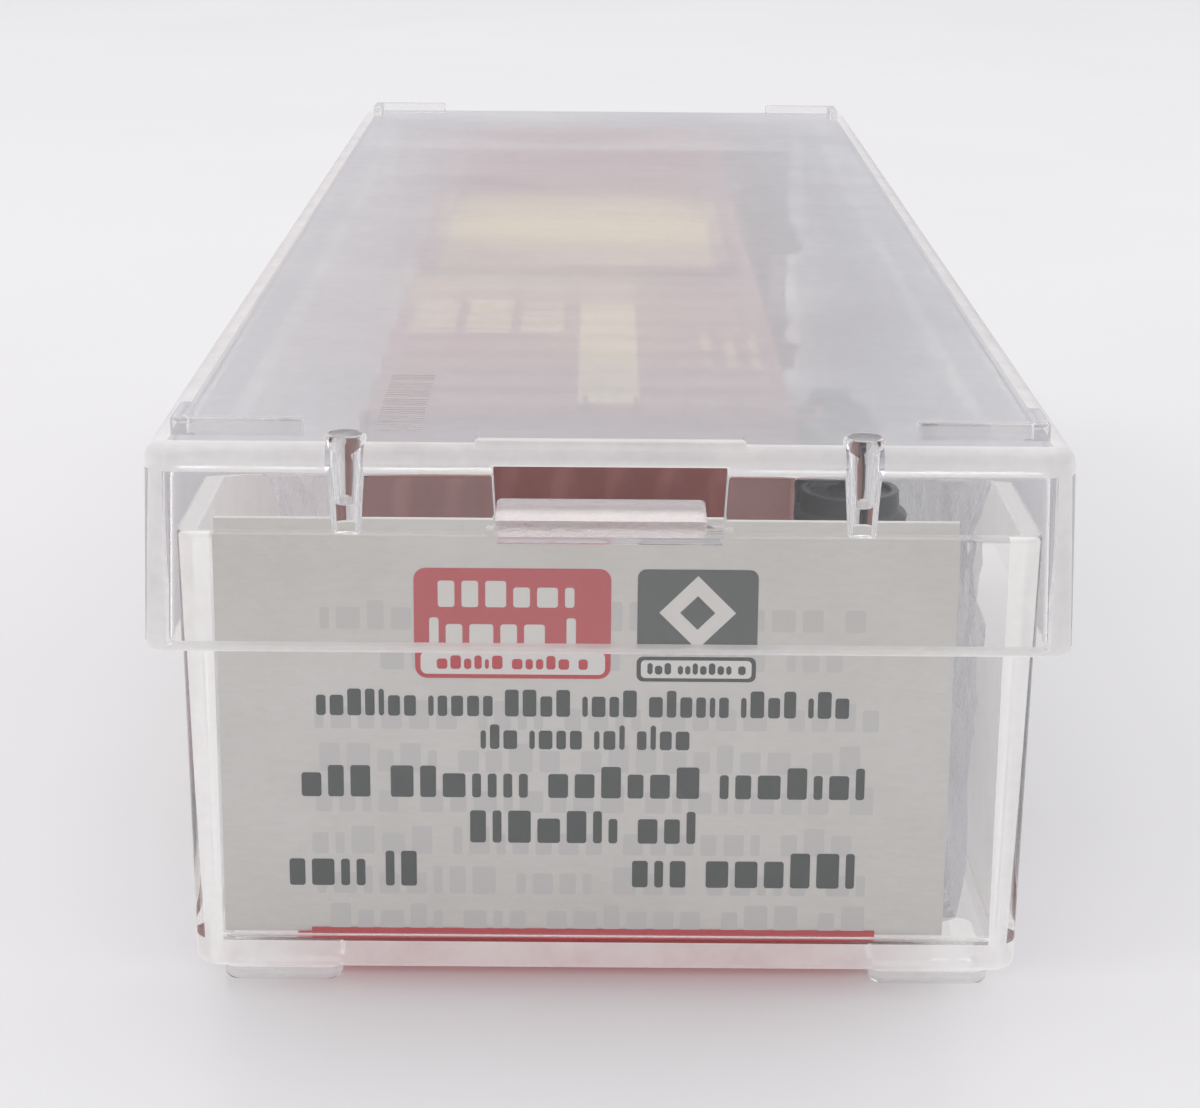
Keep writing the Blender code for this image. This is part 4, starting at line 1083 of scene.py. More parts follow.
def make_body():
    """Shell with sheathing, posts, rivets, pressed ends, roof sheets, sills, tracks and notches."""
    shell = car_prism("body_shell_hull", body_section(0.0, BODY_LOW), -BODY_END, BODY_END)
    inner_end = BODY_END - BODY_WALL
    hollow = car_prism("hollow", body_section(BODY_WALL, BODY_LOW - 1.0), -inner_end, inner_end)
    doorway_out = TRACK_OUT + 1.0
    doorways = car_block(
        "doorways",
        (-doorway_out, -DOORWAY_HALF, DOORWAY_Z[0]),
        (doorway_out, DOORWAY_HALF, DOORWAY_Z[1]),
    )
    notch_half, notch_top = COUPLER_NOTCH
    notches = car_block(
        "notches",
        (-notch_half, -BODY_END - 1.0, BODY_LOW - 1.0),
        (notch_half, BODY_END + 1.0, notch_top),
    )
    combine(shell, "DIFFERENCE", hollow, doorways, notches)

    bm = bmesh.new()
    posts = spaced(RIB_FIRST, RIB_LAST, RIBS_PER_HALF)
    for side in (-1, 1):
        for toward in (-1, 1):
            add_block(
                bm,
                (side * (BODY_HALF - 0.1), toward * (DOORWAY_HALF + 0.1), BODY_LOW + 0.55),
                (side * SIDE_SHEET, toward * (BODY_END - 0.02), EAVE - 0.5),
            )
            for y in posts:
                add_post(bm, side, toward * y)
                for z in spaced(7.6, 25.9, 16):
                    for offset in (-0.66, 0.66):
                        if abs(y + offset) < BODY_END - 0.2:
                            add_rivet(bm, (side * SIDE_SHEET, toward * (y + offset), z), (side, 0, 0))
            for y in spaced(DOORWAY_HALF + 1.4, BODY_END - 0.5, 44):
                add_rivet(bm, (side * (SIDE_SHEET + 0.08), toward * y, 6.25), (side, 0, 0))
        root, face = side * (BODY_HALF - 0.1), side * (SIDE_SHEET + 0.09)
        for low, high in ((BODY_LOW + 0.02, BODY_LOW + 0.8), (EAVE - 0.85, EAVE - 0.35)):
            add_block(bm, (root, -BODY_END, low), (face, BODY_END, high), 0.05)
    for toward in (-1, 1):
        add_relief(
            bm,
            (-END_SHEET_HALF, toward * (BODY_END + 0.02), END_SHEET_LOW),
            (2 * END_SHEET_HALF, 0, 0),
            (0, 0, END_SHEET_HEIGHT),
            (0, toward, 0),
            (72, 110),
            end_height,
            0.2,
        )
        for side in (-1, 1):
            face = toward * (BODY_END + 0.12)
            corner = (side * (BODY_HALF - 0.35), toward * (BODY_END - 0.1), BODY_LOW + 0.05)
            add_block(bm, corner, (side * (BODY_HALF + 0.05), face, EAVE - 0.2), 0.05)
            for z in spaced(6.6, 26.6, 22):
                add_rivet(bm, (side * (BODY_HALF - 0.15), face, z), (0, toward, 0), 0.09)
    slope = Vector((BODY_HALF + 0.1, 0, EAVE - RIDGE))
    for side in (-1, 1):
        run = Vector((side * slope.x, 0, slope.z))
        outward = Vector((-side * run.z, 0, abs(run.x))).normalized()
        add_relief(
            bm,
            (0, -BODY_END, RIDGE + 0.02),
            (0, 2 * BODY_END, 0),
            run,
            outward,
            (420, 12),
            roof_height,
            0.2,
        )
    last_seam = BODY_END - ROOF_PITCH
    for y in spaced(-last_seam, last_seam, ROOF_SHEETS - 1):
        add_block(bm, (-0.35, y - 0.3, RIDGE + 0.05), (0.35, y + 0.3, RIDGE + 0.25), 0.06)
    for side in (-1, 1):
        y_low, y_high = sorted((-side * (DOOR_HALF + 0.5), side * (DOOR_HALF + DOOR_TRAVEL + 1.0)))
        for door_edge, inward in ((DOOR_Z[0], 1), (DOOR_Z[1], -1)):
            back = door_edge - inward * 0.5
            seat = door_edge - inward * TRACK_GAP
            lip_end = door_edge + inward * 0.3
            root, lip_in = BODY_HALF - 0.3, TRACK_OUT - TRACK_LIP
            outline = [
                (side * root, back), (side * TRACK_OUT, back), (side * TRACK_OUT, lip_end),
                (side * lip_in, lip_end), (side * lip_in, seat), (side * root, seat),
            ]
            add_loft(bm, [[(x, y, z) for x, z in outline] for y in (y_low, y_high)])
            for y in spaced(y_low + 0.6, y_high - 0.6, 12):
                foot = (side * (BODY_HALF - 0.1), y - 0.16, back - inward * 0.35)
                add_block(bm, foot, (side * (TRACK_OUT - 0.02), y + 0.16, back + inward * 0.1), 0.05)
    add_hardware(bm)
    details = laid_down(bm, "details")
    merge(shell, details)
    shell.name = "box_car_body"
    return add_piece(shell, "case", "maroon_paint", LETTERED, "body_shell")


def door_height(u, v):
    """Pressed door: level corrugations in three panels, inside a flat border."""
    panel = 5.75
    inside = smooth_step(u, 1.0, 1.35) * (1 - smooth_step(u, 18.45, 18.8))
    place = (v - 0.6) % panel
    ribs = 0.0
    for centre in (1.3, 2.85, 4.4):
        near = abs(place - centre) / 0.55
        if near < 1.0 and 0.6 < v < 17.9:
            ribs = max(ribs, 0.13 * (0.5 + 0.5 * math.cos(math.pi * near)) ** 0.6)
    return ribs * inside


def make_door(name, side):
    """Sliding door with its locking bar and handles."""
    bm = bmesh.new()
    inner, face = DOOR_X
    add_relief(
        bm,
        (side * face, -DOOR_HALF, DOOR_Z[0]), (0, 2 * DOOR_HALF, 0), (0, 0, DOOR_Z[1] - DOOR_Z[0]),
        (side, 0, 0), (66, 130),
        door_height,
        face - inner,
    )
    for y in (-DOOR_HALF + 0.45, DOOR_HALF - 0.45):
        for z in spaced(DOOR_Z[0] + 0.7, DOOR_Z[1] - 0.7, 22):
            add_rivet(bm, (side * face, y, z), (side, 0, 0), 0.09, 0.06)
    for z in (DOOR_Z[0] + 6.3, DOOR_Z[0] + 12.1):
        strap = (side * (face - 0.05), -DOOR_HALF + 0.1, z - 0.18)
        add_block(bm, strap, (side * (face + 0.05), DOOR_HALF - 0.1, z + 0.18), 0.04)
    bar_y = side * (DOOR_HALF - 1.7)
    bar_x = side * (face + 0.2)
    add_rod(bm, [(bar_x, bar_y, DOOR_Z[0] + 0.8), (bar_x, bar_y, DOOR_Z[1] - 0.8)], 0.13)
    for z in spaced(DOOR_Z[0] + 1.5, DOOR_Z[1] - 1.5, 5):
        guide = (side * (face - 0.05), bar_y - 0.28, z - 0.18)
        add_block(bm, guide, (side * (face + 0.3), bar_y + 0.28, z + 0.18), 0.06)
    grip = [(face - 0.05, 0.0), (face + 0.26, 0.1), (face + 0.26, 1.9), (face - 0.05, 2.0)]
    add_rod(bm, [(side * x, bar_y - side * (0.6 + reach), DOOR_Z[0] + 3.2) for x, reach in grip], 0.09)
    plate = (side * (face - 0.05), bar_y - 0.5, DOOR_Z[0] + 4.1)
    add_block(bm, plate, (side * (face + 0.22), bar_y + 0.5, DOOR_Z[0] + 4.9), 0.08)
    door = laid_down(bm, name + "_panel")
    return add_piece(door, name, "yellow_paint", YELLOW, name)


# ---- card, latch and film ------------------------------------------------------------------------
def make_card():
    """The card: front, floor and rear in one folded strip with rounded folds."""
    fold = 0.7
    front, back = CARD_LOW.y, CARD_HIGH.y
    low, top = CARD_LOW.z, CARD_HIGH.z
    outside = [(front, top - 0.05), (front, low + fold)]
    inside = [(front + CARD_THICK, top - 0.05), (front + CARD_THICK, low + fold)]
    corners = ((front + fold, low + fold, 180), (back - fold, low + fold, 270))
    for centre_y, centre_z, start in corners:
        for i in range(1, 6):
            angle = math.radians(start + 90 * i / 6)
            for points, radius in ((outside, fold), (inside, fold - CARD_THICK)):
                points.append((centre_y + radius * math.cos(angle), centre_z + radius * math.sin(angle)))
        if start == 180:
            outside += [(front + fold, low), (back - fold, low)]
            inside += [(front + fold, low + CARD_THICK), (back - fold, low + CARD_THICK)]
    outside += [(back, low + fold), (back, top - 0.05)]
    inside += [(back - CARD_THICK, low + fold), (back - CARD_THICK, top - 0.05)]
    profile = outside + [(back - 0.07, top), (back - CARD_THICK + 0.07, top)] + inside[::-1]
    profile += [(front + CARD_THICK - 0.07, top), (front + 0.07, top)]
    bm = bmesh.new()
    add_loft(bm, [[(x, y, z) for y, z in profile] for x in (CARD_LOW.x, CARD_HIGH.x)])
    card = object_from(bm, "folded_card")
    add_piece(card, "case", "printed_card", CARD, "label_card")


def make_tongue():
    """Latch tongue: a neck from the rim, a sloping frosted top and a rounded front lip."""
    back, front = TONGUE_HIGH.y, TONGUE_LOW.y
    low, high = 22.5, TONGUE_HIGH.z
    neck = 0.62
    section = [
        (back - neck, TONGUE_LOW.z + 0.02), (back - 0.05, TONGUE_LOW.z + 0.02),
        (back - 0.02, high - 0.3), (back - 0.1, high - 0.06), (back - 0.25, high),
        (back - 0.6, high - 0.01), (front + 0.5, high - 0.17), (front + 0.2, high - 0.26),
        (front + 0.04, high - 0.42), (front, high - 0.6), (front + 0.05, low + 0.08),
        (front + 0.22, low), (back - neck - 0.35, low), (back - neck - 0.08, low - 0.1),
    ]
    middle = (TONGUE_LOW.x + TONGUE_HIGH.x) / 2
    half = (TONGUE_HIGH.x - TONGUE_LOW.x) / 2
    centre_y, centre_z = (back + front) / 2, (high + low) / 2
    rings = []
    for side in (-1, 1):
        steps = ((half, 0.78), (half - 0.05, 0.9), (half - 0.2, 1.0))
        for reach, swell in steps if side < 0 else reversed(steps):
            ring = []
            for y, z in section:
                swollen = (centre_y + (y - centre_y) * (0.9 + 0.1 * swell), centre_z + (z - centre_z) * swell)
                ring.append((middle + side * reach, *swollen))
            rings.append(ring)
    bm = bmesh.new()
    add_loft(bm, rings)
    tongue = object_from(bm, "clear_tongue")
    even_normals(tongue)
    add_piece(tongue, "latch", "frosted_polystyrene", FROSTED, "latch_tongue")


def film_point(share_y, share_u):
    """A point on the crumpled trough; share_u runs up the left wall, over the floor and up the right."""
    left, right = FILM_LOW.x + 0.15, FILM_HIGH.x - 0.15
    low, high = FILM_LOW.z + 0.12, FILM_HIGH.z - 0.25
    wall, width = high - low, right - left
    along = share_u * (2 * wall + width)
    bend = 0.8
    if along < wall:
        x, z = left, high - along
        outward = Vector((-1, 0, 0))
    elif along < wall + width:
        x, z = left + along - wall, low
        outward = Vector((0, 0, 1))
    else:
        x, z = right, low + along - wall - width
        outward = Vector((1, 0, 0))
    x_in = min(max(x, left + bend), right - bend)
    z_in = max(z, low + bend)
    if z < low + bend and (x < left + bend or x > right - bend):
        off = Vector((x - x_in, 0, z - z_in))
        off.normalize()
        x, z = x_in + off.x * bend, z_in + off.z * bend
    y = interpolate(FILM_LOW.y + 0.3, FILM_HIGH.y - 0.3, share_y)
    spot = Vector((x * 0.16 + 7.3, y * 0.1, z * 0.16))
    folds = 1 - abs(noise.noise(spot * 1.3)) * 3.2
    small = 0.5 - abs(noise.noise(spot * 4.1)) * 2.0
    crumple = 0.5 * folds + 0.22 * small
    if outward.z:
        crumple = max(crumple, 0.0) * 0.5
    near_top = smooth_step(z, low, high)
    tip = 0.35 * noise.noise(Vector((y * 0.9, 2.0, 5.0)))
    place = Vector((x, y, z)) + outward * crumple * (0.35 + 0.65 * near_top)
    place.z += tip * near_top
    place.x = min(max(place.x, FILM_LOW.x - 0.6), FILM_HIGH.x + 0.6)
    return place


def make_film():
    """Clear film round the car: a thin crumpled trough whose edges stand up to the lid."""
    count_y, count_u = 150, 110
    thick = 0.06
    grid = [[film_point(i / count_y, j / count_u) for j in range(count_u + 1)] for i in range(count_y + 1)]
    bm = bmesh.new()
    skins = []
    for side in (-1, 1):
        skin = []
        for i in range(count_y + 1):
            row = []
            for j in range(count_u + 1):
                ahead = grid[min(i + 1, count_y)][j] - grid[max(i - 1, 0)][j]
                across = grid[i][min(j + 1, count_u)] - grid[i][max(j - 1, 0)]
                normal = ahead.cross(across).normalized()
                row.append(bm.verts.new(grid[i][j] + normal * (side * thick / 2)))
            skin.append(row)
        skins.append(skin)
    inner, outer = skins
    for i in range(count_y):
        for j in range(count_u):
            bm.faces.new((inner[i][j], inner[i][j + 1], inner[i + 1][j + 1], inner[i + 1][j]))
            bm.faces.new((outer[i][j], outer[i + 1][j], outer[i + 1][j + 1], outer[i][j + 1]))
    for (i, j), (k, m) in border_steps(count_y, count_u):
        bm.faces.new((inner[i][j], inner[k][m], outer[k][m], outer[i][j]))
    film = object_from(bm, "crumpled_film")
    add_piece(film, "case", "clear_film", FILM, "film_cradle")


# ---- underframe ----------------------------------------------------------------------------------
TRUCK_Y = 38.9
FLOOR_Z = (6.4, 7.1)


def mirrored_blocks(bm, low, high, rounding=0.05):
    """A block and its mirror image across the car."""
    for side in (-1, 1):
        add_block(bm, (side * low[0], *low[1:]), (side * high[0], *high[1:]), rounding)


def make_underframe():
    """Floor with stringers, centre sill, tapered bearers, bolsters and brake gear."""
    half = BODY_HALF - BODY_WALL - 0.1
    end = BODY_END - BODY_WALL - 0.1
    sill_end, sill_low = 29.0, 4.6
    bm = bmesh.new()
    add_block(bm, (-half, -end, FLOOR_Z[0]), (half, end, FLOOR_Z[1]), 0.08)
    rooted = FLOOR_Z[0] + 0.2
    mirrored_blocks(bm, (1.15, -sill_end, sill_low), (1.5, sill_end, rooted))
    mirrored_blocks(bm, (1.1, -sill_end, sill_low), (1.85, sill_end, sill_low + 0.25))
    add_block(bm, (-1.3, -sill_end + 0.1, sill_low + 0.55), (1.3, sill_end - 0.1, rooted), 0.05)
    for x in (3.6, 5.9, 8.0):
        mirrored_blocks(bm, (x - 0.16, -TRUCK_Y - 1.2, 6.05), (x + 0.16, TRUCK_Y + 1.2, rooted), 0.04)
    reach = half - 0.4
    for y in spaced(-33.0, 33.0, 13):
        add_block(bm, (-reach, y - 0.14, 6.1), (reach, y + 0.14, rooted), 0.04)
    for toward in (-1, 1):
        for y in (10.5, 22.0):
            middle = toward * y
            for side in (-1, 1):
                rings = []
                for x, low in ((1.2, 4.75), (3.0, 4.95), (reach, 5.75)):
                    rings.append([
                        (side * x, middle - 0.42, low),
                        (side * x, middle + 0.42, low),
                        (side * x, middle + 0.42, low + 0.16),
                        (side * x, middle + 0.14, low + 0.2),
                        (side * x, middle + 0.14, rooted),
                        (side * x, middle - 0.14, rooted),
                        (side * x, middle - 0.14, low + 0.2),
                        (side * x, middle - 0.42, low + 0.16),
                    ])
                add_loft(bm, rings)
        middle = toward * TRUCK_Y
        add_block(bm, (-reach, middle - 1.3, 5.95), (reach, middle + 1.3, rooted), 0.1)
        add_block(bm, (-1.9, toward * (sill_end - 0.4), 5.98), (1.9, toward * (TRUCK_Y - 1.2), rooted), 0.08)
    brake_x, brake_z = 4.6, 5.7
    barrel = [(0.5, -2.1), (0.9, -2.0), (0.95, -1.9), (0.95, -1.5), (0.86, -1.45), (0.86, 1.7), (0.95, 1.75),
              (0.95, 2.1), (0.6, 2.15), (0.3, 2.2), (0.26, 3.3), (0.1, 3.35)]
    add_turned(bm, barrel, 28, axis="Y", at=(brake_x, 3.0, brake_z))
    for y in (1.6, 4.4):
        add_block(bm, (brake_x - 0.7, y - 0.2, brake_z - 0.1), (brake_x + 0.7, y + 0.2, rooted), 0.05)
    tank = [(0.2, -2.95), (0.62, -2.85), (0.88, -2.55), (0.92, -2.3), (0.92, 2.3), (0.88, 2.55), (0.62, 2.85),
            (0.2, 2.95)]
    add_turned(bm, tank, 28, axis="Y", at=(-4.4, -1.7, 5.75))
    for y in (-3.2, -0.2):
        add_block(bm, (-5.35, y - 0.15, 5.6), (-3.45, y + 0.15, rooted), 0.04)
    add_block(bm, (-6.35, -1.4, 5.3), (-5.5, 0.2, rooted), 0.12)
    add_block(bm, (-6.2, 0.3, 5.5), (-5.6, 1.2, rooted), 0.1)
    add_rod(bm, [(-4.4, 1.2, 5.7), (-4.4, 2.6, 5.75), (-2.6, 3.4, 5.9), (-2.6, 30.5, 5.95)], 0.13)
    add_rod(bm, [(-4.4, -4.6, 5.7), (-4.4, -5.6, 5.75), (-2.7, -6.4, 5.9), (-2.7, -30.5, 5.95)], 0.13)
    pull = [(brake_x, 6.2, brake_z), (brake_x - 0.3, 7.0, 5.5), (2.3, 7.4, 5.45), (-2.0, 7.0, 5.45)]
    add_rod(bm, pull, 0.13)
    add_rod(bm, [(2.3, 7.4, 5.45), (2.2, 20.0, 5.4), (2.2, 33.4, 5.6)], 0.12)
    add_rod(bm, [(-2.0, 7.0, 5.45), (-2.1, -12.0, 5.4), (-2.1, -33.4, 5.6)], 0.12)
    add_piece(laid_down(bm, "underframe_detailed"), "case", "slate_plastic", SLATE, "underframe")


def make_brake_wheel():
    """Hand wheel: a round rim, five dished spokes, a hub and its gear housing on the end wall."""
    place = Vector((-4.6, BODY_END + 0.4, 18.0))
    bm = bmesh.new()
    rim_radius, wire = 1.59, 0.15
    count, sides = 48, 10
    loops = []
    for i in range(count):
        angle = math.tau * i / count
        ring = []
        for k in range(sides):
            turn = math.tau * k / sides
            r = rim_radius + wire * math.cos(turn)
            point = Vector((r * math.cos(angle), 1.08 + wire * math.sin(turn), r * math.sin(angle)))
            ring.append(bm.verts.new(place + point))
        loops.append(ring)
    for i in range(count):
        for k in range(sides):
            m = (k + 1) % sides
            following = loops[(i + 1) % count]
            bm.faces.new((loops[i][k], loops[i][m], following[m], following[k]))
    for i in range(5):
        angle = math.tau * i / 5
        out = Vector((math.cos(angle), 0, math.sin(angle)))
        points = []
        for reach, lift in ((0.15, 1.3), (0.5, 1.3), (1.0, 1.18), (1.58, 1.08)):
            points.append(place + out * reach + Vector((0, lift, 0)))
        add_rod(bm, points, 0.1)
    hub = [(0.3, 0.1), (0.3, 0.9), (0.42, 1.0), (0.42, 1.38), (0.3, 1.45), (0.12, 1.46)]
    add_turned(bm, hub, 20, axis="Y", at=place)
    low = place + Vector((-0.75, 0.0, -1.3))
    add_block(bm, low, place + Vector((0.75, 0.62, 0.9)), 0.18, 3)
    wheel = laid_down(bm, "hand_wheel")
    add_piece(wheel, "case", "maroon_paint", MAROON, "brake_wheel")


# ---- trucks --------------------------------------------------------------------------------------
AXLE_Y, AXLE_Z = 5.4, 2.62
PIVOT_Y = 10.3
FRAME_MIDDLE = 6.7


def truck_matrix(letter):
    """A truck's frame in the case; its +y points out of the car."""
    toward, turn = (-1, math.pi) if letter == "a" else (1, 0.0)
    return CAR @ Matrix.Translation((0, toward * TRUCK_Y, 0)) @ Matrix.Rotation(turn, 4, "Z")


BEAM_SECTION = ((1, 0.6), (0.75, 1), (-0.75, 1), (-1, 0.6), (-1, -0.6), (-0.75, -1), (0.75, -1), (1, -0.6))


def add_beam(bm, x, points, half_x, half_z):
    """A cast beam in a side frame: a path in y and z with a rounded section."""
    rings = []
    for i, (y, z) in enumerate(points):
        before, after = points[max(i - 1, 0)], points[min(i + 1, len(points) - 1)]
        heading = Vector((0, after[0] - before[0], after[1] - before[1])).normalized()
        up = Vector((0, -heading.z, heading.y))
        ring = []
        for u, v in BEAM_SECTION:
            ring.append(Vector((x + u * half_x, y, z)) + up * (v * half_z))
        rings.append(ring)
    add_loft(bm, rings)


def add_spring_group(bm, x, y, low, high):
    """One coil of the spring nest."""
    profile = []
    turns = 6
    pitch = (high - low) / turns
    for i in range(turns):
        base = interpolate(low, high, i / turns)
        for radius, share in ((0.34, 0.0), (0.46, 0.25), (0.46, 0.55), (0.34, 0.8)):
            profile.append((radius, base + pitch * share))
    profile.append((0.34, high))
    add_turned(bm, profile, 14, at=(x, y, 0))


def add_side_frame(bm, side):
    """One cast side frame with journal boxes, spring nest and bolster end."""
    x = side * FRAME_MIDDLE
    upper = [(6.45, 3.45), (5.4, 3.7), (4.3, 3.85), (2.3, 4.62)]
    lower = [(5.9, 2.0), (4.3, 1.95), (3.6, 1.9), (1.8, 1.22)]
    for path, half_x, half_z in ((upper, 0.44, 0.26), (lower, 0.42, 0.22)):
        near_half = [(-y, z) for y, z in path]
        add_beam(bm, x, near_half + path[::-1], half_x, half_z)
    add_beam(bm, x, [(-1.9, 1.32), (1.9, 1.32)], 0.5, 0.16)
    for end in (-1, 1):
        add_beam(bm, x, [(end * 2.05, 1.2), (end * 2.05, 4.6)], 0.4, 0.24)
        add_beam(bm, x, [(end * 4.2, 2.0), (end * 2.2, 4.3)], 0.3, 0.14)
        y = end * AXLE_Y
        add_block(bm, (side * 6.3, y - 1.0, AXLE_Z - 0.95), (side * 7.1, y + 1.0, AXLE_Z + 1.05), 0.18, 3)
        low_x, high_x = sorted((side * 7.0, side * 7.2))
        add_block(bm, (low_x, y - 0.72, AXLE_Z - 0.72), (high_x, y + 0.72, AXLE_Z + 0.7), 0.08, 2)
        if side > 0:
            high_x += 0.05
        add_turned(bm, [(0.3, low_x), (0.3, high_x)], 14, axis="X", at=(0, y, AXLE_Z))
        for bolt in (-0.55, 0.55):
            add_rivet(bm, (side * 7.19, y + bolt, AXLE_Z + 0.5), (side, 0, 0), 0.1, 0.06)
    add_block(bm, (side * 5.9, -1.7, 3.35), (side * 7.15, 1.7, 4.25), 0.15, 3)
    for y in (-1.05, 0.0, 1.05):
        add_spring_group(bm, x, y, 1.45, 3.4)


def make_truck_frame(letter):
    """Side frames, bolster, brake beams, coupler tray and post in one moulding."""
    bm = bmesh.new()
    add_block(bm, (-6.6, -1.6, 3.4), (6.6, 1.6, 4.9), 0.2, 3)
    for side in (-1, 1):
        add_side_frame(bm, side)
    mirrored_blocks(bm, (2.6, -1.3, 4.8), (5.6, 1.3, 4.98), 0.06)
    add_turned(bm, [(2.0, 4.4), (2.3, 4.6), (2.3, 5.8), (2.22, 5.88)], 40)
    for end in (-1, 1):
        add_rod(bm, [(-5.6, end * 2.15, 2.3), (0, end * 2.35, 2.2), (5.6, end * 2.15, 2.3)], 0.18)
        for side in (-1, 1):
            middle = side * 4.65
            add_block(bm, (middle - 0.55, end * 1.95, 1.9), (middle + 0.55, end * 2.32, 3.2), 0.1)
    add_block(bm, (-1.2, 0.8, 4.1), (1.2, 7.6, 4.75), 0.1)
    tray_half, wall, tray_low, tray_high = 2.1, 0.4, 4.0, 5.85
    add_block(bm, (-tray_half, 7.3, tray_low), (tray_half, 12.6, tray_low + 0.4), 0.08)
    add_block(bm, (-tray_half, 7.3, tray_low), (tray_half, 7.9, tray_high), 0.08)
    mirrored_blocks(bm, (tray_half - wall, 7.3, tray_low), (tray_half, 12.6, tray_high), 0.06)
    add_turned(bm, [(0.4, 4.2), (0.4, 5.75), (0.34, 5.85)], 20, at=(0, PIVOT_Y, 0))
    bm.transform(truck_matrix(letter))
    truck = object_from(bm, "truck_casting_" + letter)
    add_piece(truck, "truck_" + letter, "slate_plastic", SLATE, "truck_frame_" + letter)


def make_wheelset(letter, where):
    """Axle with two flanged wheels: rounded flange, coned tread, dished plate and hub."""
    half = [
        (0.02, 6.85), (0.12, 6.8), (0.48, 6.2), (0.52, 5.9), (0.6, 5.5), (1.05, 5.44),
        (1.12, 5.3), (1.5, 5.14), (1.95, 5.12), (2.08, 5.2), (2.14, 5.38), (2.2, 5.42),
        (2.5, 5.42), (2.56, 5.36), (2.6, 4.5), (2.64, 4.42), (2.78, 4.34), (2.96, 4.22),
        (3.02, 4.1), (3.01, 3.95), (2.94, 3.86), (2.2, 3.84), (2.05, 3.92), (1.2, 4.06),
        (1.0, 4.0), (0.95, 3.8), (0.62, 3.72), (0.5, 3.5), (0.5, 0.0),
    ]
    profile = half + [(radius, -place) for radius, place in reversed(half[:-1])]
    end = -1 if where == "inner" else 1
    bm = bmesh.new()
    add_turned(bm, profile, 56, axis="X", at=(0, end * AXLE_Y, AXLE_Z))
    bm.transform(truck_matrix(letter))
    name = f"wheelset_{letter}_{where}"
    wheels = object_from(bm, name + "_turned")
    add_piece(wheels, name, "slate_plastic", WHEEL, name)


def make_refined(node, body, slot, material, width=0.05):
    """A CAD node's shape with its edges rounded."""
    bm = bmesh.new()
    bm.from_mesh(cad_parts[node].data)
    bmesh.ops.scale(bm, vec=(1 / MM, 1 / MM, 1 / MM), verts=bm.verts)
    bmesh.ops.remove_doubles(bm, verts=bm.verts, dist=0.002)
    bmesh.ops.dissolve_limit(bm, angle_limit=math.radians(2), verts=bm.verts, edges=bm.edges)
    item = object_from(bm, node + "_refined")
    if width:
        soften(item, width, 2)
        even_normals(item)
    add_piece(item, body, slot, material, node)


def make_trucks():
    """Both trucks with their wheels, pins and couplers."""
    for letter in "ab":
        make_truck_frame(letter)
        make_wheelset(letter, "inner")
        make_wheelset(letter, "outer")
        coupler, jaw = "coupler_" + letter, "coupler_jaw_" + letter
        make_refined("coupler_lid_" + letter, "truck_" + letter, "slate_plastic", SLATE, 0.06)
        make_refined("coupler_upper_" + letter, coupler, "slate_plastic", SLATE)
        make_refined("coupler_lower_" + letter, jaw, "slate_plastic", SLATE)
        make_refined("coupler_spring_" + letter, coupler, "bronze_wire", BRONZE, 0.0)
        make_refined("trip_pin_" + letter, jaw, "steel", STEEL, 0.0)
        make_refined("bolster_pin_" + letter, "case", "steel", STEEL)


make_lid()
make_base()
make_card()
make_label()
make_tongue()
make_film()
make_body()
make_door("door_upper", 1)
make_door("door_lower", -1)
make_underframe()
make_brake_wheel()
make_refined("weight", "case", "steel", STEEL, 0.15)
make_trucks()


# ---- camera, light and floor ---------------------------------------------------------------------
CAMERA_PLACE = (-0.0007, -0.1836, 0.0557)
CAMERA_DOWN, CAMERA_ROLL = 15.73, -0.45  # degrees
LENS, SENSOR = 84.33, 36.0
TENT_NEAR = (0.7, 0.69, 0.7, 1.0)
TENT_FAR = (1.0, 0.99, 1.0, 1.0)
TENT_STRENGTH = 0.9
FLOOR_HALF = 4000.0
FLOOR_TONES = ((0.735, 0.73, 0.745), (0.755, 0.75, 0.765))


def make_camera():
    """The viewpoint: low over the label end, with a long lens."""
    data = bpy.data.cameras.new("camera")
    data.lens = LENS
    data.sensor_width = SENSOR
    data.clip_start = 0.001
    data.clip_end = 20.0
    camera = bpy.data.objects.new("camera", data)
    camera.location = CAMERA_PLACE
    camera.rotation_euler = (math.radians(90 - CAMERA_DOWN), math.radians(CAMERA_ROLL), 0.0)
    bpy.context.scene.collection.objects.link(camera)
    bpy.context.scene.camera = camera


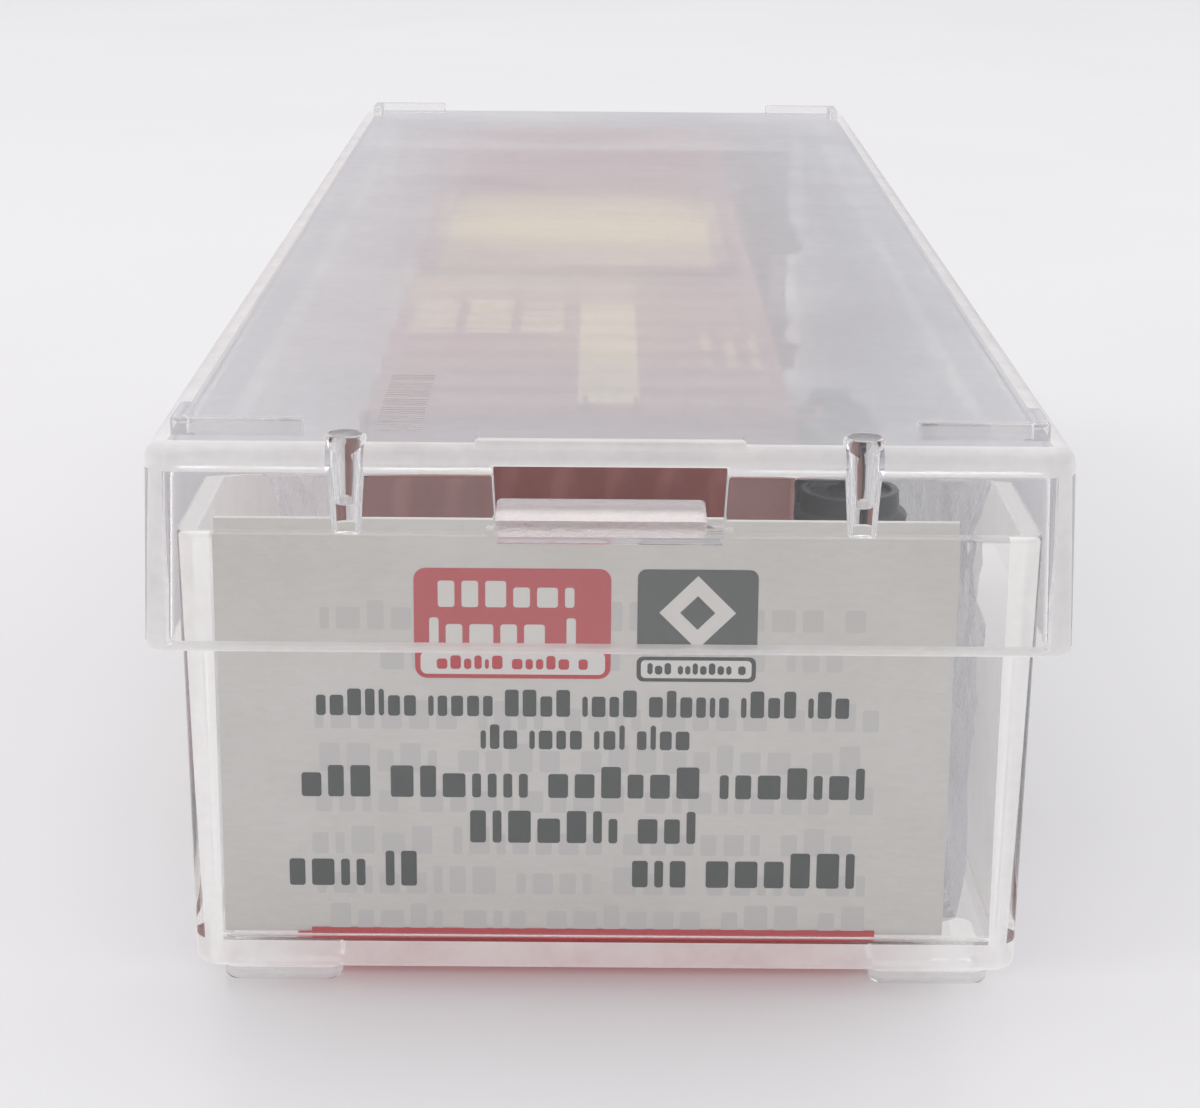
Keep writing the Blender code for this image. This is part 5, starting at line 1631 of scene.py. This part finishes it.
def make_world():
    """A white tent: bright behind the case, duller round the camera."""
    world = bpy.data.worlds.new("white_tent")
    world.use_nodes = True
    tree = world.node_tree
    background = tree.nodes["Background"]
    place = tree.nodes.new("ShaderNodeTexCoord")
    split = tree.nodes.new("ShaderNodeSeparateXYZ")
    tree.links.new(place.outputs["Generated"], split.inputs["Vector"])
    ramp = tree.nodes.new("ShaderNodeValToRGB")
    ramp.color_ramp.interpolation = "EASE"
    stops = ((0.0, TENT_NEAR), (0.75, TENT_FAR))
    for stop, (position, colour) in zip(ramp.color_ramp.elements, stops):
        stop.position = position
        stop.color = colour
    remap = tree.nodes.new("ShaderNodeMapRange")
    remap.inputs["From Min"].default_value = -1.0
    remap.inputs["From Max"].default_value = 1.0
    tree.links.new(split.outputs["Y"], remap.inputs["Value"])
    tree.links.new(remap.outputs["Result"], ramp.inputs["Fac"])
    tree.links.new(ramp.outputs["Color"], background.inputs["Color"])
    background.inputs["Strength"].default_value = TENT_STRENGTH
    bpy.context.scene.world = world


def make_area_light(name, place, size, power):
    """A soft square light that faces the case."""
    data = bpy.data.lights.new(name, "AREA")
    data.shape = "SQUARE"
    data.size = size
    data.energy = power
    light = bpy.data.objects.new(name, data)
    light.location = place
    light.rotation_euler = (-Vector(place)).to_track_quat("-Z", "Y").to_euler()
    bpy.context.scene.collection.objects.link(light)


def make_floor():
    """A pale sheet that the case stands on."""
    bm = bmesh.new()
    bmesh.ops.create_grid(bm, x_segments=1, y_segments=1, size=FLOOR_HALF)
    floor = object_from(bm, "floor")
    shader = Shader("pale_sheet")
    tone = shader.blend_colours(shader.ranged(shader.grain(60.0, 2.0), 0.0, 1.0), *FLOOR_TONES)
    shader.set(Base_Color=tone, Roughness=0.35, Specular_IOR_Level=0.4)
    floor.data.materials.append(shader.material)


make_camera()
make_world()
make_area_light("overhead", (0.1, 0.15, 0.9), 0.9, 3.0)
make_area_light("left_side", (-0.7, -0.1, 0.4), 0.5, 1.2)
make_floor()
bpy.context.scene.view_settings.view_transform = "Standard"
